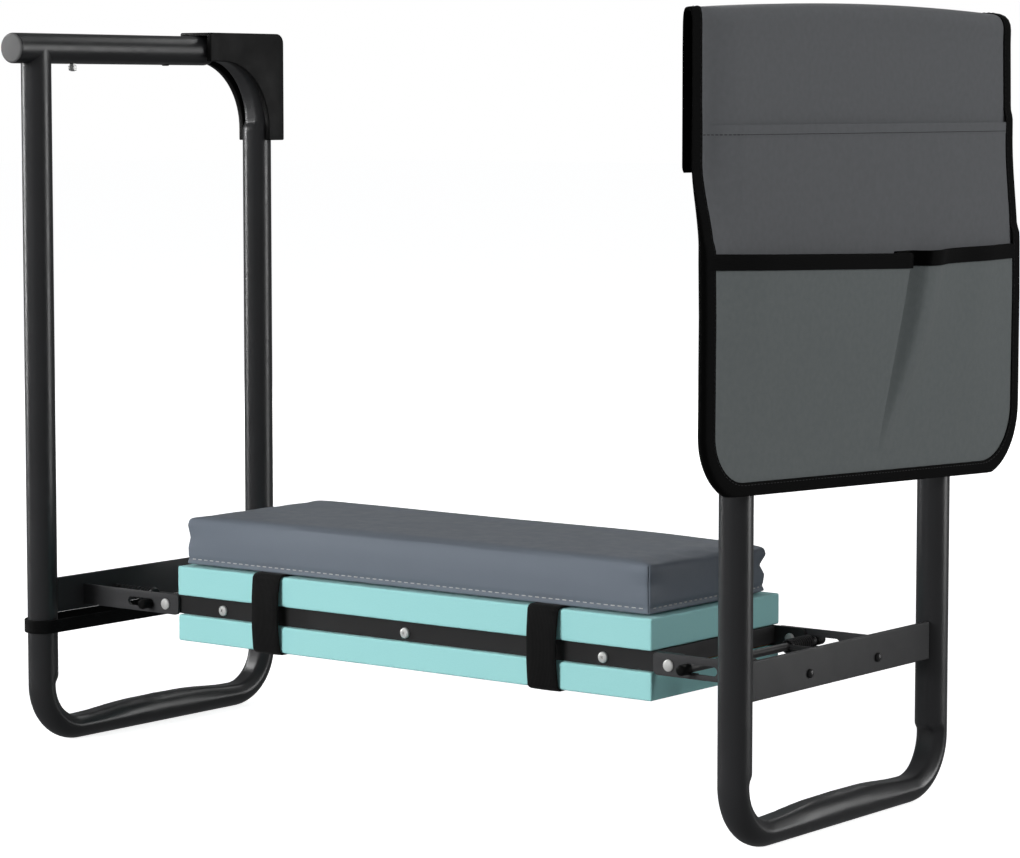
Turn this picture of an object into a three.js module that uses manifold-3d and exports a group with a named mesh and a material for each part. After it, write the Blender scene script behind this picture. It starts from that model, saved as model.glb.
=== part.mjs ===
// Garden kneeler seat: a padded platform hung between two folding tube legs.
// Units are millimetres, +Z is up, +X runs along the seat to the leg that carries the tool bag,
// and -Y is the side that the open handle ends point to.
// The origin is on the floor under the middle of the whole object.
import * as THREE from 'three';
import { mergeVertices } from 'three/addons/utils/BufferGeometryUtils.js';
import Module from 'manifold-3d';

const wasm = await Module();
wasm.setup();

// ---------------------------------------------------------------- driving dimensions
const HANDLE_TOP = 490;
const LEG_X = 288.4;
const UPRIGHT_Y = 111.9;
const TUBE_R = 10.35;
const TUBE_WALL = 1.4;
const HANDLE_END_Y = -133.7;
const TOP_BEND_R = 50;
const FOOT_BEND_R = 31;
const TUBE_SIDES = 12;
const BORE_SIDES = 8;
const BEND_STEPS = 5;

const PAD = { halfLength: 198.6, halfWidth: 71.5, bottom: 76.1, top: 127.4 };
const GROOVE = { bottom: 94.0, top: 107.4 };
const RAIL = { outerY: 67.5, thickness: 2.5, screwX: [-159.7, 0, 159.7], screwZ: 99.5 };
const ARM = { outerY: 70.3, thickness: 2.5, bottom: 93, top: 107, innerX: 199.4, cornerR: 3 };
const PIVOT = { x: 211.1, z: 99.8, holeR: 3.1 };
const LOCK = { x: 225.9, z: 99.2, rodR: 2.6, travel: 17, slotHalf: 3.0, slotEndX: 246.8 };
const CROSSBAR = { innerX: 290, outerX: 293, halfLength: 101.2, bottom: 90, top: 114, pinY: 38.7 };
const CUSHION = { halfLength: 193.4, halfWidth: 66.5, bottom: 129.1, top: 161.3 };
const STRAP = { x: 116.2, width: 24.8, thickness: 1.2, bow: 2.6 };
const COVER = { startY: 47, endY: 125.2, top: 492.6, bottom: 415.3, half: 15 };
const BAG = {
  halfWidth: 172, bottom: 208, foldTop: 499, flapBottom: 403.5,
  cloth: 1.8, inside: 15.4, pocketCloth: 1.4, upperTop: 430, divideY: 60.5,
};

const FIT = 0.3;
const HANDLE_Z = HANDLE_TOP - TUBE_R;

// ---------------------------------------------------------------- materials
function finish(color, roughness, metalness) {
  return () => new THREE.MeshStandardMaterial({ color, roughness, metalness });
}

const powderCoat = finish(0x323234, 0.45, 0.3);
const bracketCoat = finish(0x454546, 0.5, 0.3);
const blackSteel = finish(0x232323, 0.45, 0.4);
const brightSteel = finish(0xc9c9c6, 0.25, 0.95);
const darkPlastic = finish(0x101010, 0.55, 0);
const greyPlastic = finish(0x767676, 0.5, 0);
const tealFoam = finish(0xa3e2e2, 0.85, 0);
const board = finish(0x8a6b45, 0.8, 0);
const vinyl = finish(0x69717c, 0.5, 0);
const elastic = finish(0x1a1a1a, 0.9, 0);
const bagCloth = finish(0x606264, 0.9, 0);

// ---------------------------------------------------------------- scene graph and booleans
const model = new THREE.Group();

function addPart(name, geometry, material, turn = 0) {
  const mesh = new THREE.Mesh(geometry, material());
  mesh.name = name;
  mesh.rotation.z = turn;
  model.add(mesh);
}

function toManifold(geometry) {
  const bare = geometry.clone();
  bare.deleteAttribute('normal');
  bare.deleteAttribute('uv');
  const merged = mergeVertices(bare, 1e-4);
  return new wasm.Manifold(new wasm.Mesh({
    numProp: 3,
    vertProperties: new Float32Array(merged.attributes.position.array),
    triVerts: new Uint32Array(merged.index.array),
  }));
}

function toGeometry(solid) {
  const mesh = solid.getMesh();
  const geometry = new THREE.BufferGeometry();
  geometry.setAttribute('position', new THREE.BufferAttribute(mesh.vertProperties, 3));
  geometry.setIndex(new THREE.BufferAttribute(mesh.triVerts, 1));
  return geometry;
}

function join(geometries) {
  return toGeometry(geometries.map(toManifold).reduce((whole, part) => whole.add(part)));
}

function cut(geometry, cutters) {
  const whole = toManifold(geometry);
  return toGeometry(cutters.map(toManifold).reduce((rest, part) => rest.subtract(part), whole));
}

// ---------------------------------------------------------------- shape helpers
function roundedRect(x0, y0, x1, y1, r, Kind = THREE.Shape) {
  const outline = new Kind();
  outline.moveTo(x0 + r, y0);
  outline.lineTo(x1 - r, y0);
  outline.absarc(x1 - r, y0 + r, r, -Math.PI / 2, 0);
  outline.lineTo(x1, y1 - r);
  outline.absarc(x1 - r, y1 - r, r, 0, Math.PI / 2);
  outline.lineTo(x0 + r, y1);
  outline.absarc(x0 + r, y1 - r, r, Math.PI / 2, Math.PI);
  outline.lineTo(x0, y0 + r);
  outline.absarc(x0 + r, y0 + r, r, Math.PI, 1.5 * Math.PI);
  return outline;
}

function extrude(shape, depth, curveSegments = 3) {
  return new THREE.ExtrudeGeometry(shape, { depth, bevelEnabled: false, curveSegments });
}

// A shape drawn in (x, z), carried from y0 to y1.
function alongY(shape, y0, y1, curveSegments) {
  return extrude(shape, y1 - y0, curveSegments).rotateX(Math.PI / 2).translate(0, y1, 0);
}

// A shape drawn in (y, z), carried from x0 to x1.
function alongX(shape, x0, x1, curveSegments) {
  const body = extrude(shape, x1 - x0, curveSegments).rotateX(Math.PI / 2).rotateZ(Math.PI / 2);
  return body.translate(x0, 0, 0);
}

// A shape drawn in (x, y), carried from z0 to z1.
function alongZ(shape, z0, z1, curveSegments) {
  return extrude(shape, z1 - z0, curveSegments).translate(0, 0, z0);
}

function box(x0, x1, y0, y1, z0, z1) {
  const body = new THREE.BoxGeometry(x1 - x0, y1 - y0, z1 - z0);
  return body.translate((x0 + x1) / 2, (y0 + y1) / 2, (z0 + z1) / 2);
}

// A turned piece: profile points are [radius, distance along the axis], from axis to axis.
function turned(profile, sides = 12) {
  return new THREE.LatheGeometry(profile.map(([r, h]) => new THREE.Vector2(r, h)), sides);
}

// A turned piece whose axis distance points to -Y (front) or +Y (back) from the middle plane.
function turnedOutward(profile, side, x, z, sides) {
  const body = turned(profile, sides);
  if (side < 0) {
    body.rotateX(Math.PI);
  }
  return body.translate(x, 0, z);
}

function rod(radius, y0, y1, x, z, sides = 12) {
  return turned([[0, y0], [radius, y0], [radius, y1], [0, y1]], sides).translate(x, 0, z);
}

// ---------------------------------------------------------------- bent tubes
// A route through fixed stations, so that straight runs need no steps of their own.
class StationCurve extends THREE.Curve {
  constructor(stations) {
    super();
    this.stations = stations;
  }

  getPoint(t, target = new THREE.Vector3()) {
    const spans = this.stations.length - 1;
    const i = Math.min(Math.floor(t * spans), spans - 1);
    return target.lerpVectors(this.stations[i], this.stations[i + 1], t * spans - i);
  }

  getUtoTmapping(u) {
    return u;
  }
}

function bend(centreY, centreZ, radius, fromDegrees, toDegrees) {
  const points = [];
  for (let i = 0; i <= BEND_STEPS; i += 1) {
    const a = THREE.MathUtils.degToRad(THREE.MathUtils.lerp(fromDegrees, toDegrees, i / BEND_STEPS));
    points.push(new THREE.Vector3(0, centreY + radius * Math.cos(a), centreZ + radius * Math.sin(a)));
  }
  return points;
}

const FOOT_Z = TUBE_R + FOOT_BEND_R;
const UPRIGHT_JOINT_Z = 300;

// The handle, the far upright, the foot and the lower part of the near upright, in one route.
function loopStations(handleEndY) {
  return [
    new THREE.Vector3(0, handleEndY, HANDLE_Z),
    ...bend(UPRIGHT_Y - TOP_BEND_R, HANDLE_Z - TOP_BEND_R, TOP_BEND_R, 90, 0),
    ...bend(UPRIGHT_Y - FOOT_BEND_R, FOOT_Z, FOOT_BEND_R, 0, -90),
    ...bend(FOOT_BEND_R - UPRIGHT_Y, FOOT_Z, FOOT_BEND_R, -90, -180),
    new THREE.Vector3(0, -UPRIGHT_Y, UPRIGHT_JOINT_Z),
  ];
}

// The section is a polygon drawn round the circle, with one flat side facing straight down.
function sweep(stations, radius, sides) {
  const half = Math.PI / sides;
  const section = new THREE.Shape();
  section.absarc(0, 0, radius / Math.cos(half), half, 2 * Math.PI + half);
  return new THREE.ExtrudeGeometry(section, {
    steps: stations.length - 1,
    extrudePath: new StationCurve(stations),
    curveSegments: sides / 2,
  });
}

// The upper part of the near upright, whose top is coped into the handle.
function nearUpright(radius, sides) {
  const stations = [UPRIGHT_JOINT_Z - 5, HANDLE_Z - 1].map((z) => new THREE.Vector3(0, -UPRIGHT_Y, z));
  return sweep(stations, radius - 0.05, sides);
}

const HANDLE_SCREW_Y = -77;
const HANDLE_PLUG_Y = 15.6;

function legTube() {
  const outside = join([sweep(loopStations(HANDLE_END_Y), TUBE_R, TUBE_SIDES),
    nearUpright(TUBE_R, TUBE_SIDES)]);
  const boreR = TUBE_R - TUBE_WALL;
  const screwHole = new THREE.CylinderGeometry(2, 2, 12, 8).rotateX(Math.PI / 2);
  return cut(outside, [
    sweep(loopStations(HANDLE_END_Y - 1), boreR, BORE_SIDES),
    nearUpright(boreR, BORE_SIDES),
    screwHole.clone().translate(0, HANDLE_SCREW_Y, HANDLE_Z - TUBE_R),
    screwHole.clone().translate(0, HANDLE_PLUG_Y, HANDLE_Z - TUBE_R),
  ]);
}

function handleCap() {
  const plugR = TUBE_R - TUBE_WALL - FIT;
  const face = HANDLE_END_Y - FIT;
  const profile = [[0, face - 1.6], [TUBE_R - 1.3, face - 1.6], [TUBE_R - 0.5, face - 1],
    [TUBE_R - 0.5, face], [plugR, face], [plugR, face + 9], [plugR - 1, face + 10], [0, face + 10]];
  return turned(profile, 16).translate(0, 0, HANDLE_Z);
}

// A small fastener that stands up from below into the handle's underside.
function handleFastener(headR, headHeight, y) {
  const seat = HANDLE_Z - TUBE_R - 0.2;
  const profile = [[0, seat - headHeight], [headR - 0.7, seat - headHeight],
    [headR, seat - headHeight + 0.9], [headR, seat], [1.6, seat], [1.6, seat + 5], [0, seat + 5]];
  return turned(profile, 10).rotateX(Math.PI / 2).translate(0, y, 0);
}

// A moulded channel, open underneath, that caps the outside of the far top bend.
function cornerCover() {
  const innerR = 48;
  const innerCentre = { y: 61, z: 424 };
  const outline = new THREE.Shape();
  outline.moveTo(COVER.startY, COVER.top);
  outline.lineTo(COVER.startY, innerCentre.z + innerR + 0.5);
  outline.absarc(innerCentre.y, innerCentre.z, innerR, Math.PI / 2, 0, true);
  outline.lineTo(innerCentre.y + innerR, COVER.bottom);
  outline.lineTo(COVER.endY, COVER.bottom);
  outline.lineTo(COVER.endY, COVER.top - 6);
  outline.absarc(COVER.endY - 6, COVER.top - 6, 6, 0, Math.PI / 2);
  const blank = alongX(outline, -COVER.half, COVER.half, 4);
  return cut(blank, [sweep(loopStations(HANDLE_END_Y), TUBE_R + FIT, TUBE_SIDES)]);
}

// ---------------------------------------------------------------- folding bracket and its lock
// All of these are drawn for the +X leg; the -X leg has them turned half round.
function legBracket() {
  const armShape = roundedRect(ARM.innerX, ARM.bottom, CROSSBAR.innerX + 1, ARM.top, ARM.cornerR);
  const web = box(CROSSBAR.innerX, CROSSBAR.outerX, -CROSSBAR.halfLength, CROSSBAR.halfLength,
    CROSSBAR.bottom, CROSSBAR.top);
  const arms = [-1, 1].map((side) => {
    const y0 = side < 0 ? -ARM.outerY : ARM.outerY - ARM.thickness;
    return alongY(armShape, y0, y0 + ARM.thickness);
  });
  const slot = roundedRect(LOCK.x - LOCK.slotHalf, LOCK.z - LOCK.slotHalf, LOCK.slotEndX,
    LOCK.z + LOCK.slotHalf, LOCK.slotHalf - 0.01);
  const reach = ARM.outerY + 5;
  const pinHole = new THREE.CylinderGeometry(2, 2, 10, 12).rotateZ(Math.PI / 2);
  return cut(join([web, ...arms]), [
    alongY(slot, -reach, reach, 3),
    rod(PIVOT.holeR, -reach, reach, PIVOT.x, PIVOT.z),
    ...[-1, 1].map((side) => pinHole.clone()
      .translate(CROSSBAR.outerX, side * CROSSBAR.pinY, LOCK.z)),
  ]);
}

function lockRod() {
  return rod(LOCK.rodR, -77.8, 77.8, LOCK.x, LOCK.z);
}

function rodCap(side) {
  const bore = LOCK.rodR + 0.2;
  const inner = ARM.outerY + 0.4;
  const profile = [[bore, inner], [3.4, inner], [3.4, 79.2], [2.8, 79.8], [0, 79.8], [0, 78.1],
    [bore, 78.1]];
  return turnedOutward([...profile, profile[0]], side, LOCK.x, LOCK.z);
}

const COLLAR = { x0: 250.5, x1: 253.5, r: 5.2 };

// A pin from the lock rod out through the crossbar; its head shows on the crossbar's outer face.
function guidePin(y, hasCollar) {
  const start = LOCK.x + LOCK.rodR + FIT;
  const headX = CROSSBAR.outerX + FIT;
  const collar = hasCollar
    ? [[1.6, COLLAR.x0], [COLLAR.r - 0.6, COLLAR.x0], [COLLAR.r, COLLAR.x0 + 0.6],
      [COLLAR.r, COLLAR.x1], [1.6, COLLAR.x1]] : [];
  const profile = [[0, start], [1.6, start], ...collar, [1.6, headX], [2.9, headX],
    [2.9, headX + 0.9], [2.0, headX + 1.9], [0, headX + 2.2]];
  return turned(profile, 12).rotateZ(-Math.PI / 2).translate(0, y, LOCK.z);
}

// Outer shape of the coil that sits on the front guide pin between its collar and the crossbar.
function pinSpring(y) {
  const profile = [[2.1, COLLAR.x1 + FIT], [4.3, COLLAR.x1 + FIT], [4.3, CROSSBAR.innerX - FIT],
    [2.1, CROSSBAR.innerX - FIT], [2.1, COLLAR.x1 + FIT]];
  return turned(profile, 10).rotateZ(-Math.PI / 2).translate(0, y, LOCK.z);
}

// Outer shape of the coil wound round the lock rod beside the back arm.
function rodSpring(side) {
  const bore = LOCK.rodR + 0.2;
  const profile = [[bore, 42.5], [4.7, 42.5], [4.7, 64.2], [bore, 64.2], [bore, 42.5]];
  return turnedOutward(profile, side, LOCK.x, LOCK.z, 10);
}

// ---------------------------------------------------------------- platform
// A side rail: its end is round about the pivot, so the lock rod can pass, and a lower jaw under
// the rod stops the leg when it stands upright.
function sideRail(side) {
  const nose = LOCK.x - PIVOT.x - LOCK.rodR - 0.6;
  const jaw = { end: LOCK.x + 4, top: LOCK.z - LOCK.rodR - 0.4 };
  const low = GROOVE.bottom + FIT;
  const high = GROOVE.top - FIT;
  const rise = Math.asin((high - PIVOT.z) / nose);
  const fall = Math.asin((jaw.top - PIVOT.z) / nose);
  const outline = new THREE.Shape();
  outline.moveTo(jaw.end, low);
  outline.lineTo(jaw.end, jaw.top);
  outline.absarc(PIVOT.x, PIVOT.z, nose, fall, rise);
  outline.absarc(-PIVOT.x, PIVOT.z, nose, Math.PI - rise, Math.PI - fall);
  outline.lineTo(-jaw.end, jaw.top);
  outline.lineTo(-jaw.end, low);
  const y0 = side < 0 ? -RAIL.outerY : RAIL.outerY - RAIL.thickness;
  const bar = alongY(outline, y0, y0 + RAIL.thickness, 4);
  const holes = RAIL.screwX.map((x) => rod(1.9, y0 - 1, y0 + 5, x, RAIL.screwZ, 8));
  const pivots = [-1, 1].map((end) => rod(PIVOT.holeR, y0 - 1, y0 + 5, end * PIVOT.x, PIVOT.z));
  return cut(bar, [...holes, ...pivots]);
}

function endMember(end) {
  const faces = [196.2, 199.4].map((x) => end * x).sort((a, b) => a - b);
  const reach = RAIL.outerY - RAIL.thickness - FIT;
  return box(faces[0], faces[1], -reach, reach, 96, GROOVE.top - FIT);
}

function coreBoard() {
  const reach = RAIL.outerY - RAIL.thickness - FIT;
  const slab = box(-195.8, 195.8, -reach, reach, GROOVE.bottom + FIT, GROOVE.top - FIT);
  const holes = [-1, 1].flatMap((side) => RAIL.screwX.map(
    (x) => rod(1.9, side < 0 ? -70 : 54, side < 0 ? -54 : 70, x, RAIL.screwZ, 8)));
  return cut(slab, holes);
}

function railScrew(x, side) {
  const seat = RAIL.outerY + 0.2;
  const profile = [[0, 56], [1.2, 56], [1.6, 58], [1.6, seat], [3.5, seat], [3.5, seat + 0.6],
    [2.4, seat + 1.5], [0, seat + 1.8]];
  return turnedOutward(profile, side, x, RAIL.screwZ);
}

function pivotRivet(end, side) {
  const seat = ARM.outerY + 0.2;
  const tail = RAIL.outerY - RAIL.thickness - 0.2;
  const profile = [[0, tail - 1.4], [2.6, tail - 1.4], [3.5, tail - 0.6], [3.5, tail], [2.8, tail],
    [2.8, seat], [3.8, seat], [3.8, seat + 0.5], [2.7, seat + 1.3], [0, seat + 1.6]];
  return turnedOutward(profile, side, end * PIVOT.x, PIVOT.z);
}

function foamSlab(bottom, top) {
  const edge = 1.2;
  const outline = roundedRect(edge - PAD.halfLength, edge - PAD.halfWidth, PAD.halfLength - edge,
    PAD.halfWidth - edge, 1.5);
  const slab = new THREE.ExtrudeGeometry(outline, {
    depth: top - bottom - 2 * edge, bevelThickness: edge, bevelSize: edge, bevelSegments: 2,
    curveSegments: 2,
  });
  return slab.translate(0, 0, bottom + edge);
}

function cushionBlock() {
  const edge = 7;
  const outline = roundedRect(edge - CUSHION.halfLength, edge - CUSHION.halfWidth,
    CUSHION.halfLength - edge, CUSHION.halfWidth - edge, 5);
  const block = new THREE.ExtrudeGeometry(outline, {
    depth: CUSHION.top - CUSHION.bottom - 2 * edge, bevelThickness: edge, bevelSize: edge,
    bevelSegments: 2, curveSegments: 2,
  });
  return block.translate(0, 0, CUSHION.bottom + edge);
}

// An elastic loop round the foam block, bowed out a little where it crosses the rails.
function strapOutline(Kind, grow) {
  const side = PAD.halfWidth + FIT + grow;
  const low = PAD.bottom - FIT - grow;
  const high = PAD.top + FIT + grow;
  const middle = (low + high) / 2;
  const bowed = side + 2 * STRAP.bow;
  const outline = new Kind();
  outline.moveTo(-side, low);
  outline.lineTo(side, low);
  outline.quadraticCurveTo(bowed, middle, side, high);
  outline.lineTo(-side, high);
  outline.quadraticCurveTo(-bowed, middle, -side, low);
  return outline;
}

function padStrap(x) {
  const ring = strapOutline(THREE.Shape, STRAP.thickness);
  ring.holes.push(strapOutline(THREE.Path, 0));
  return alongX(ring, x - STRAP.width / 2, x + STRAP.width / 2, 8);
}

function storageStrap() {
  const inner = TUBE_R + 0.8;
  const outer = inner + 1.5;
  const ring = roundedRect(-outer, -UPRIGHT_Y - outer, outer, UPRIGHT_Y + outer, outer - 0.01);
  ring.holes.push(roundedRect(-inner, -UPRIGHT_Y - inner, inner, UPRIGHT_Y + inner, inner - 0.01,
    THREE.Path));
  return alongZ(ring, 78.6, 87.9, 4);
}

// ---------------------------------------------------------------- tool bag
// Plan of the bag, measured outward from the plane of its leg.
const PANEL_FRONT = BAG.inside + BAG.cloth;
const UPPER = { y0: -BAG.halfWidth, y1: BAG.halfWidth, depth: 5.5, top: BAG.upperTop };
const LOWER_LEFT = { y0: -BAG.halfWidth, y1: BAG.divideY - 0.4, depth: 7, top: 357 };
const LOWER_RIGHT = { y0: BAG.divideY + 0.4, y1: BAG.halfWidth, depth: 10, top: 352 };

function swell(pocket, y, inset) {
  const half = (pocket.y1 - pocket.y0) / 2 - inset;
  const u = (y - (pocket.y0 + pocket.y1) / 2) / half;
  return pocket.depth * Math.max(0, 1 - u * u);
}

const upperBack = () => PANEL_FRONT + FIT;
const upperFront = (y) => upperBack() + swell(UPPER, y, 2) + BAG.pocketCloth;
const lowerBack = (y) => upperFront(y) + FIT;

// A pouch whose back is open to the sheet behind it and whose mouth is open at the top.
function pocketBody(pocket, back) {
  const steps = 16;
  const ys = Array.from({ length: steps + 1 }, (_, i) => i / steps);
  const outlineOf = (inset, backShift, frontShift) => {
    const at = (u) => THREE.MathUtils.lerp(pocket.y0 + inset, pocket.y1 - inset, u);
    const front = ys.map((u) => new THREE.Vector2(
      back(at(u)) + swell(pocket, at(u), 2) + frontShift, at(u)));
    const rear = ys.map((u) => new THREE.Vector2(back(at(u)) + backShift, at(u)));
    return new THREE.Shape([...front.reverse(), ...rear]);
  };
  const whole = alongZ(outlineOf(0, 0, BAG.pocketCloth), BAG.bottom + 1.5, pocket.top);
  const hollow = alongZ(outlineOf(2, -1, 0), BAG.bottom + 1.5 + BAG.pocketCloth, pocket.top + 5);
  return cut(whole, [hollow]).translate(LEG_X, 0, 0);
}

// The cloth that folds over the handle: a short flap inside the leg and a long panel outside it.
function bagPanel() {
  const shoulder = COVER.top + 0.6;
  const lining = BAG.foldTop - BAG.cloth;
  const outer = PANEL_FRONT;
  const inner = BAG.inside;
  const outline = new THREE.Shape();
  outline.moveTo(outer, BAG.bottom);
  outline.lineTo(outer, shoulder);
  outline.quadraticCurveTo(outer, BAG.foldTop, 0, BAG.foldTop);
  outline.quadraticCurveTo(-outer, BAG.foldTop, -outer, shoulder);
  outline.lineTo(-outer, BAG.flapBottom);
  outline.lineTo(-inner, BAG.flapBottom);
  outline.lineTo(-inner, shoulder);
  outline.quadraticCurveTo(-inner, lining, 0, lining);
  outline.quadraticCurveTo(inner, lining, inner, shoulder);
  outline.lineTo(inner, BAG.bottom);
  return alongY(outline, -BAG.halfWidth, BAG.halfWidth, 6).translate(LEG_X, 0, 0);
}

// ---------------------------------------------------------------- assembly
addPart('upper_foam_pad', foamSlab(GROOVE.top, PAD.top), tealFoam);
addPart('lower_foam_pad', foamSlab(PAD.bottom, GROOVE.bottom), tealFoam);
addPart('core_board', coreBoard(), board);
addPart('seat_cushion', cushionBlock(), vinyl);
for (const [end, endName] of [[-1, 'left'], [1, 'right']]) {
  addPart(`${endName}_end_member`, endMember(end), blackSteel);
  addPart(`${endName}_pad_strap`, padStrap(end * STRAP.x), elastic);
}
for (const [side, sideName] of [[-1, 'front'], [1, 'back']]) {
  addPart(`${sideName}_rail`, sideRail(side), blackSteel);
  RAIL.screwX.forEach((x, i) => {
    addPart(`${sideName}_rail_screw_${i + 1}`, railScrew(x, side), brightSteel);
  });
  addPart(`left_${sideName}_pivot_rivet`, pivotRivet(-1, side), brightSteel);
  addPart(`right_${sideName}_pivot_rivet`, pivotRivet(1, side), brightSteel);
}

// Turning the -X leg's bracket half round swaps front and back, so its pieces are drawn mirrored.
for (const [end, name, turn] of [[-1, 'left', Math.PI], [1, 'right', 0]]) {
  const place = (geometry) => geometry.translate(end * LEG_X, 0, 0);
  addPart(`${name}_leg_tube`, place(legTube()), powderCoat);
  addPart(`${name}_handle_cap`, place(handleCap()), greyPlastic);
  addPart(`${name}_handle_screw`, place(handleFastener(3, 4.4, HANDLE_SCREW_Y)), brightSteel);
  addPart(`${name}_handle_plug`, place(handleFastener(2.6, 1.6, HANDLE_PLUG_Y)), darkPlastic);
  addPart(`${name}_corner_cover`, place(cornerCover()), darkPlastic);
  addPart(`${name}_leg_bracket`, legBracket(), bracketCoat, turn);
  addPart(`${name}_lock_rod`, lockRod(), blackSteel, turn);
  addPart(`${name}_front_rod_cap`, rodCap(-end), darkPlastic, turn);
  addPart(`${name}_back_rod_cap`, rodCap(end), darkPlastic, turn);
  addPart(`${name}_front_guide_pin`, guidePin(-end * CROSSBAR.pinY, true), blackSteel, turn);
  addPart(`${name}_back_guide_pin`, guidePin(end * CROSSBAR.pinY, false), blackSteel, turn);
  addPart(`${name}_pin_spring`, pinSpring(-end * CROSSBAR.pinY), darkPlastic, turn);
  addPart(`${name}_rod_spring`, rodSpring(end), blackSteel, turn);
}

addPart('storage_strap', storageStrap().translate(-LEG_X, 0, 0), elastic);
addPart('bag_panel', bagPanel(), bagCloth);
addPart('bag_upper_pocket', pocketBody(UPPER, upperBack), bagCloth);
addPart('bag_lower_left_pocket', pocketBody(LOWER_LEFT, lowerBack), bagCloth);
addPart('bag_lower_right_pocket', pocketBody(LOWER_RIGHT, lowerBack), bagCloth);

// The bag reaches further out than the other leg does, so the whole object is centred here.
const extent = new THREE.Box3().setFromObject(model);
model.position.x = -(extent.min.x + extent.max.x) / 2;

const object = new THREE.Group();
object.add(model);
export default object;
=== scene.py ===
"""Garden kneeler seat: the looks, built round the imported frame. Units are metres, +Z is up."""

import math

import bmesh
import bpy
import numpy as np
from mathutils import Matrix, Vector
from mathutils.bvhtree import BVHTree


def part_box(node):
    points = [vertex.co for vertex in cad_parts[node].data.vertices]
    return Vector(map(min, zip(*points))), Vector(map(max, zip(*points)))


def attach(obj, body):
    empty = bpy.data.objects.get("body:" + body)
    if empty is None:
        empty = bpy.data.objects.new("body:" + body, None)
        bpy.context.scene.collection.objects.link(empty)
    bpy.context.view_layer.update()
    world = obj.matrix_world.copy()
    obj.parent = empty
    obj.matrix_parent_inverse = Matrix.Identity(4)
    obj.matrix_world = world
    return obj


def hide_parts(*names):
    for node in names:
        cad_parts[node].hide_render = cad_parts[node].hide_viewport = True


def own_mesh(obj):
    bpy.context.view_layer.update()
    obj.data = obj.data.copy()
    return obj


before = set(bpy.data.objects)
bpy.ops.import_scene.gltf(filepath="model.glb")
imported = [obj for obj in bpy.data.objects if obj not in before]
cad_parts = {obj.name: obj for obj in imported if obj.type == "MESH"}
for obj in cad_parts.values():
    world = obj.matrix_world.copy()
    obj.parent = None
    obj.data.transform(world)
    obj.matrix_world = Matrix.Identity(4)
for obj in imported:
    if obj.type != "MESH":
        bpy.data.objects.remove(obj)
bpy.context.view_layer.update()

MM = 0.001
X, Y, Z = np.eye(3)
SIDES = (("front", -1), ("back", 1))
LEGS = (("left", -1), ("right", 1))


def corners(node):
    lo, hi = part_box(node)
    return np.array(lo), np.array(hi)


# ------------------------------------------------------------------ sizes read from the frame
_, PAD_HI = corners("upper_foam_pad")
LOWER_LO, _ = corners("lower_foam_pad")
CUSHION_LO, CUSHION_HI = corners("seat_cushion")
TUBE_LO, TUBE_HI = corners("right_leg_tube")
BAG_LO, BAG_HI = corners("bag_panel")
TUBE_R = (TUBE_HI[0] - TUBE_LO[0]) / 2
UPRIGHT_Y = TUBE_HI[1] - TUBE_R
HANDLE_Z = TUBE_HI[2] - TUBE_R
HANDLE_END_Y = TUBE_LO[1]
TOP_BEND_R = 50 * MM
FOOT_BEND_R = 31 * MM


def leg_plane(leg):
    lo, hi = corners(f"{leg}_leg_tube")
    return (lo[0] + hi[0]) / 2


# ------------------------------------------------------------------ materials
def srgb(*values):
    scaled = [v / 255 for v in values]
    return [c / 12.92 if c < 0.04045 else ((c + 0.055) / 1.055) ** 2.4 for c in scaled] + [1.0]


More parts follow.
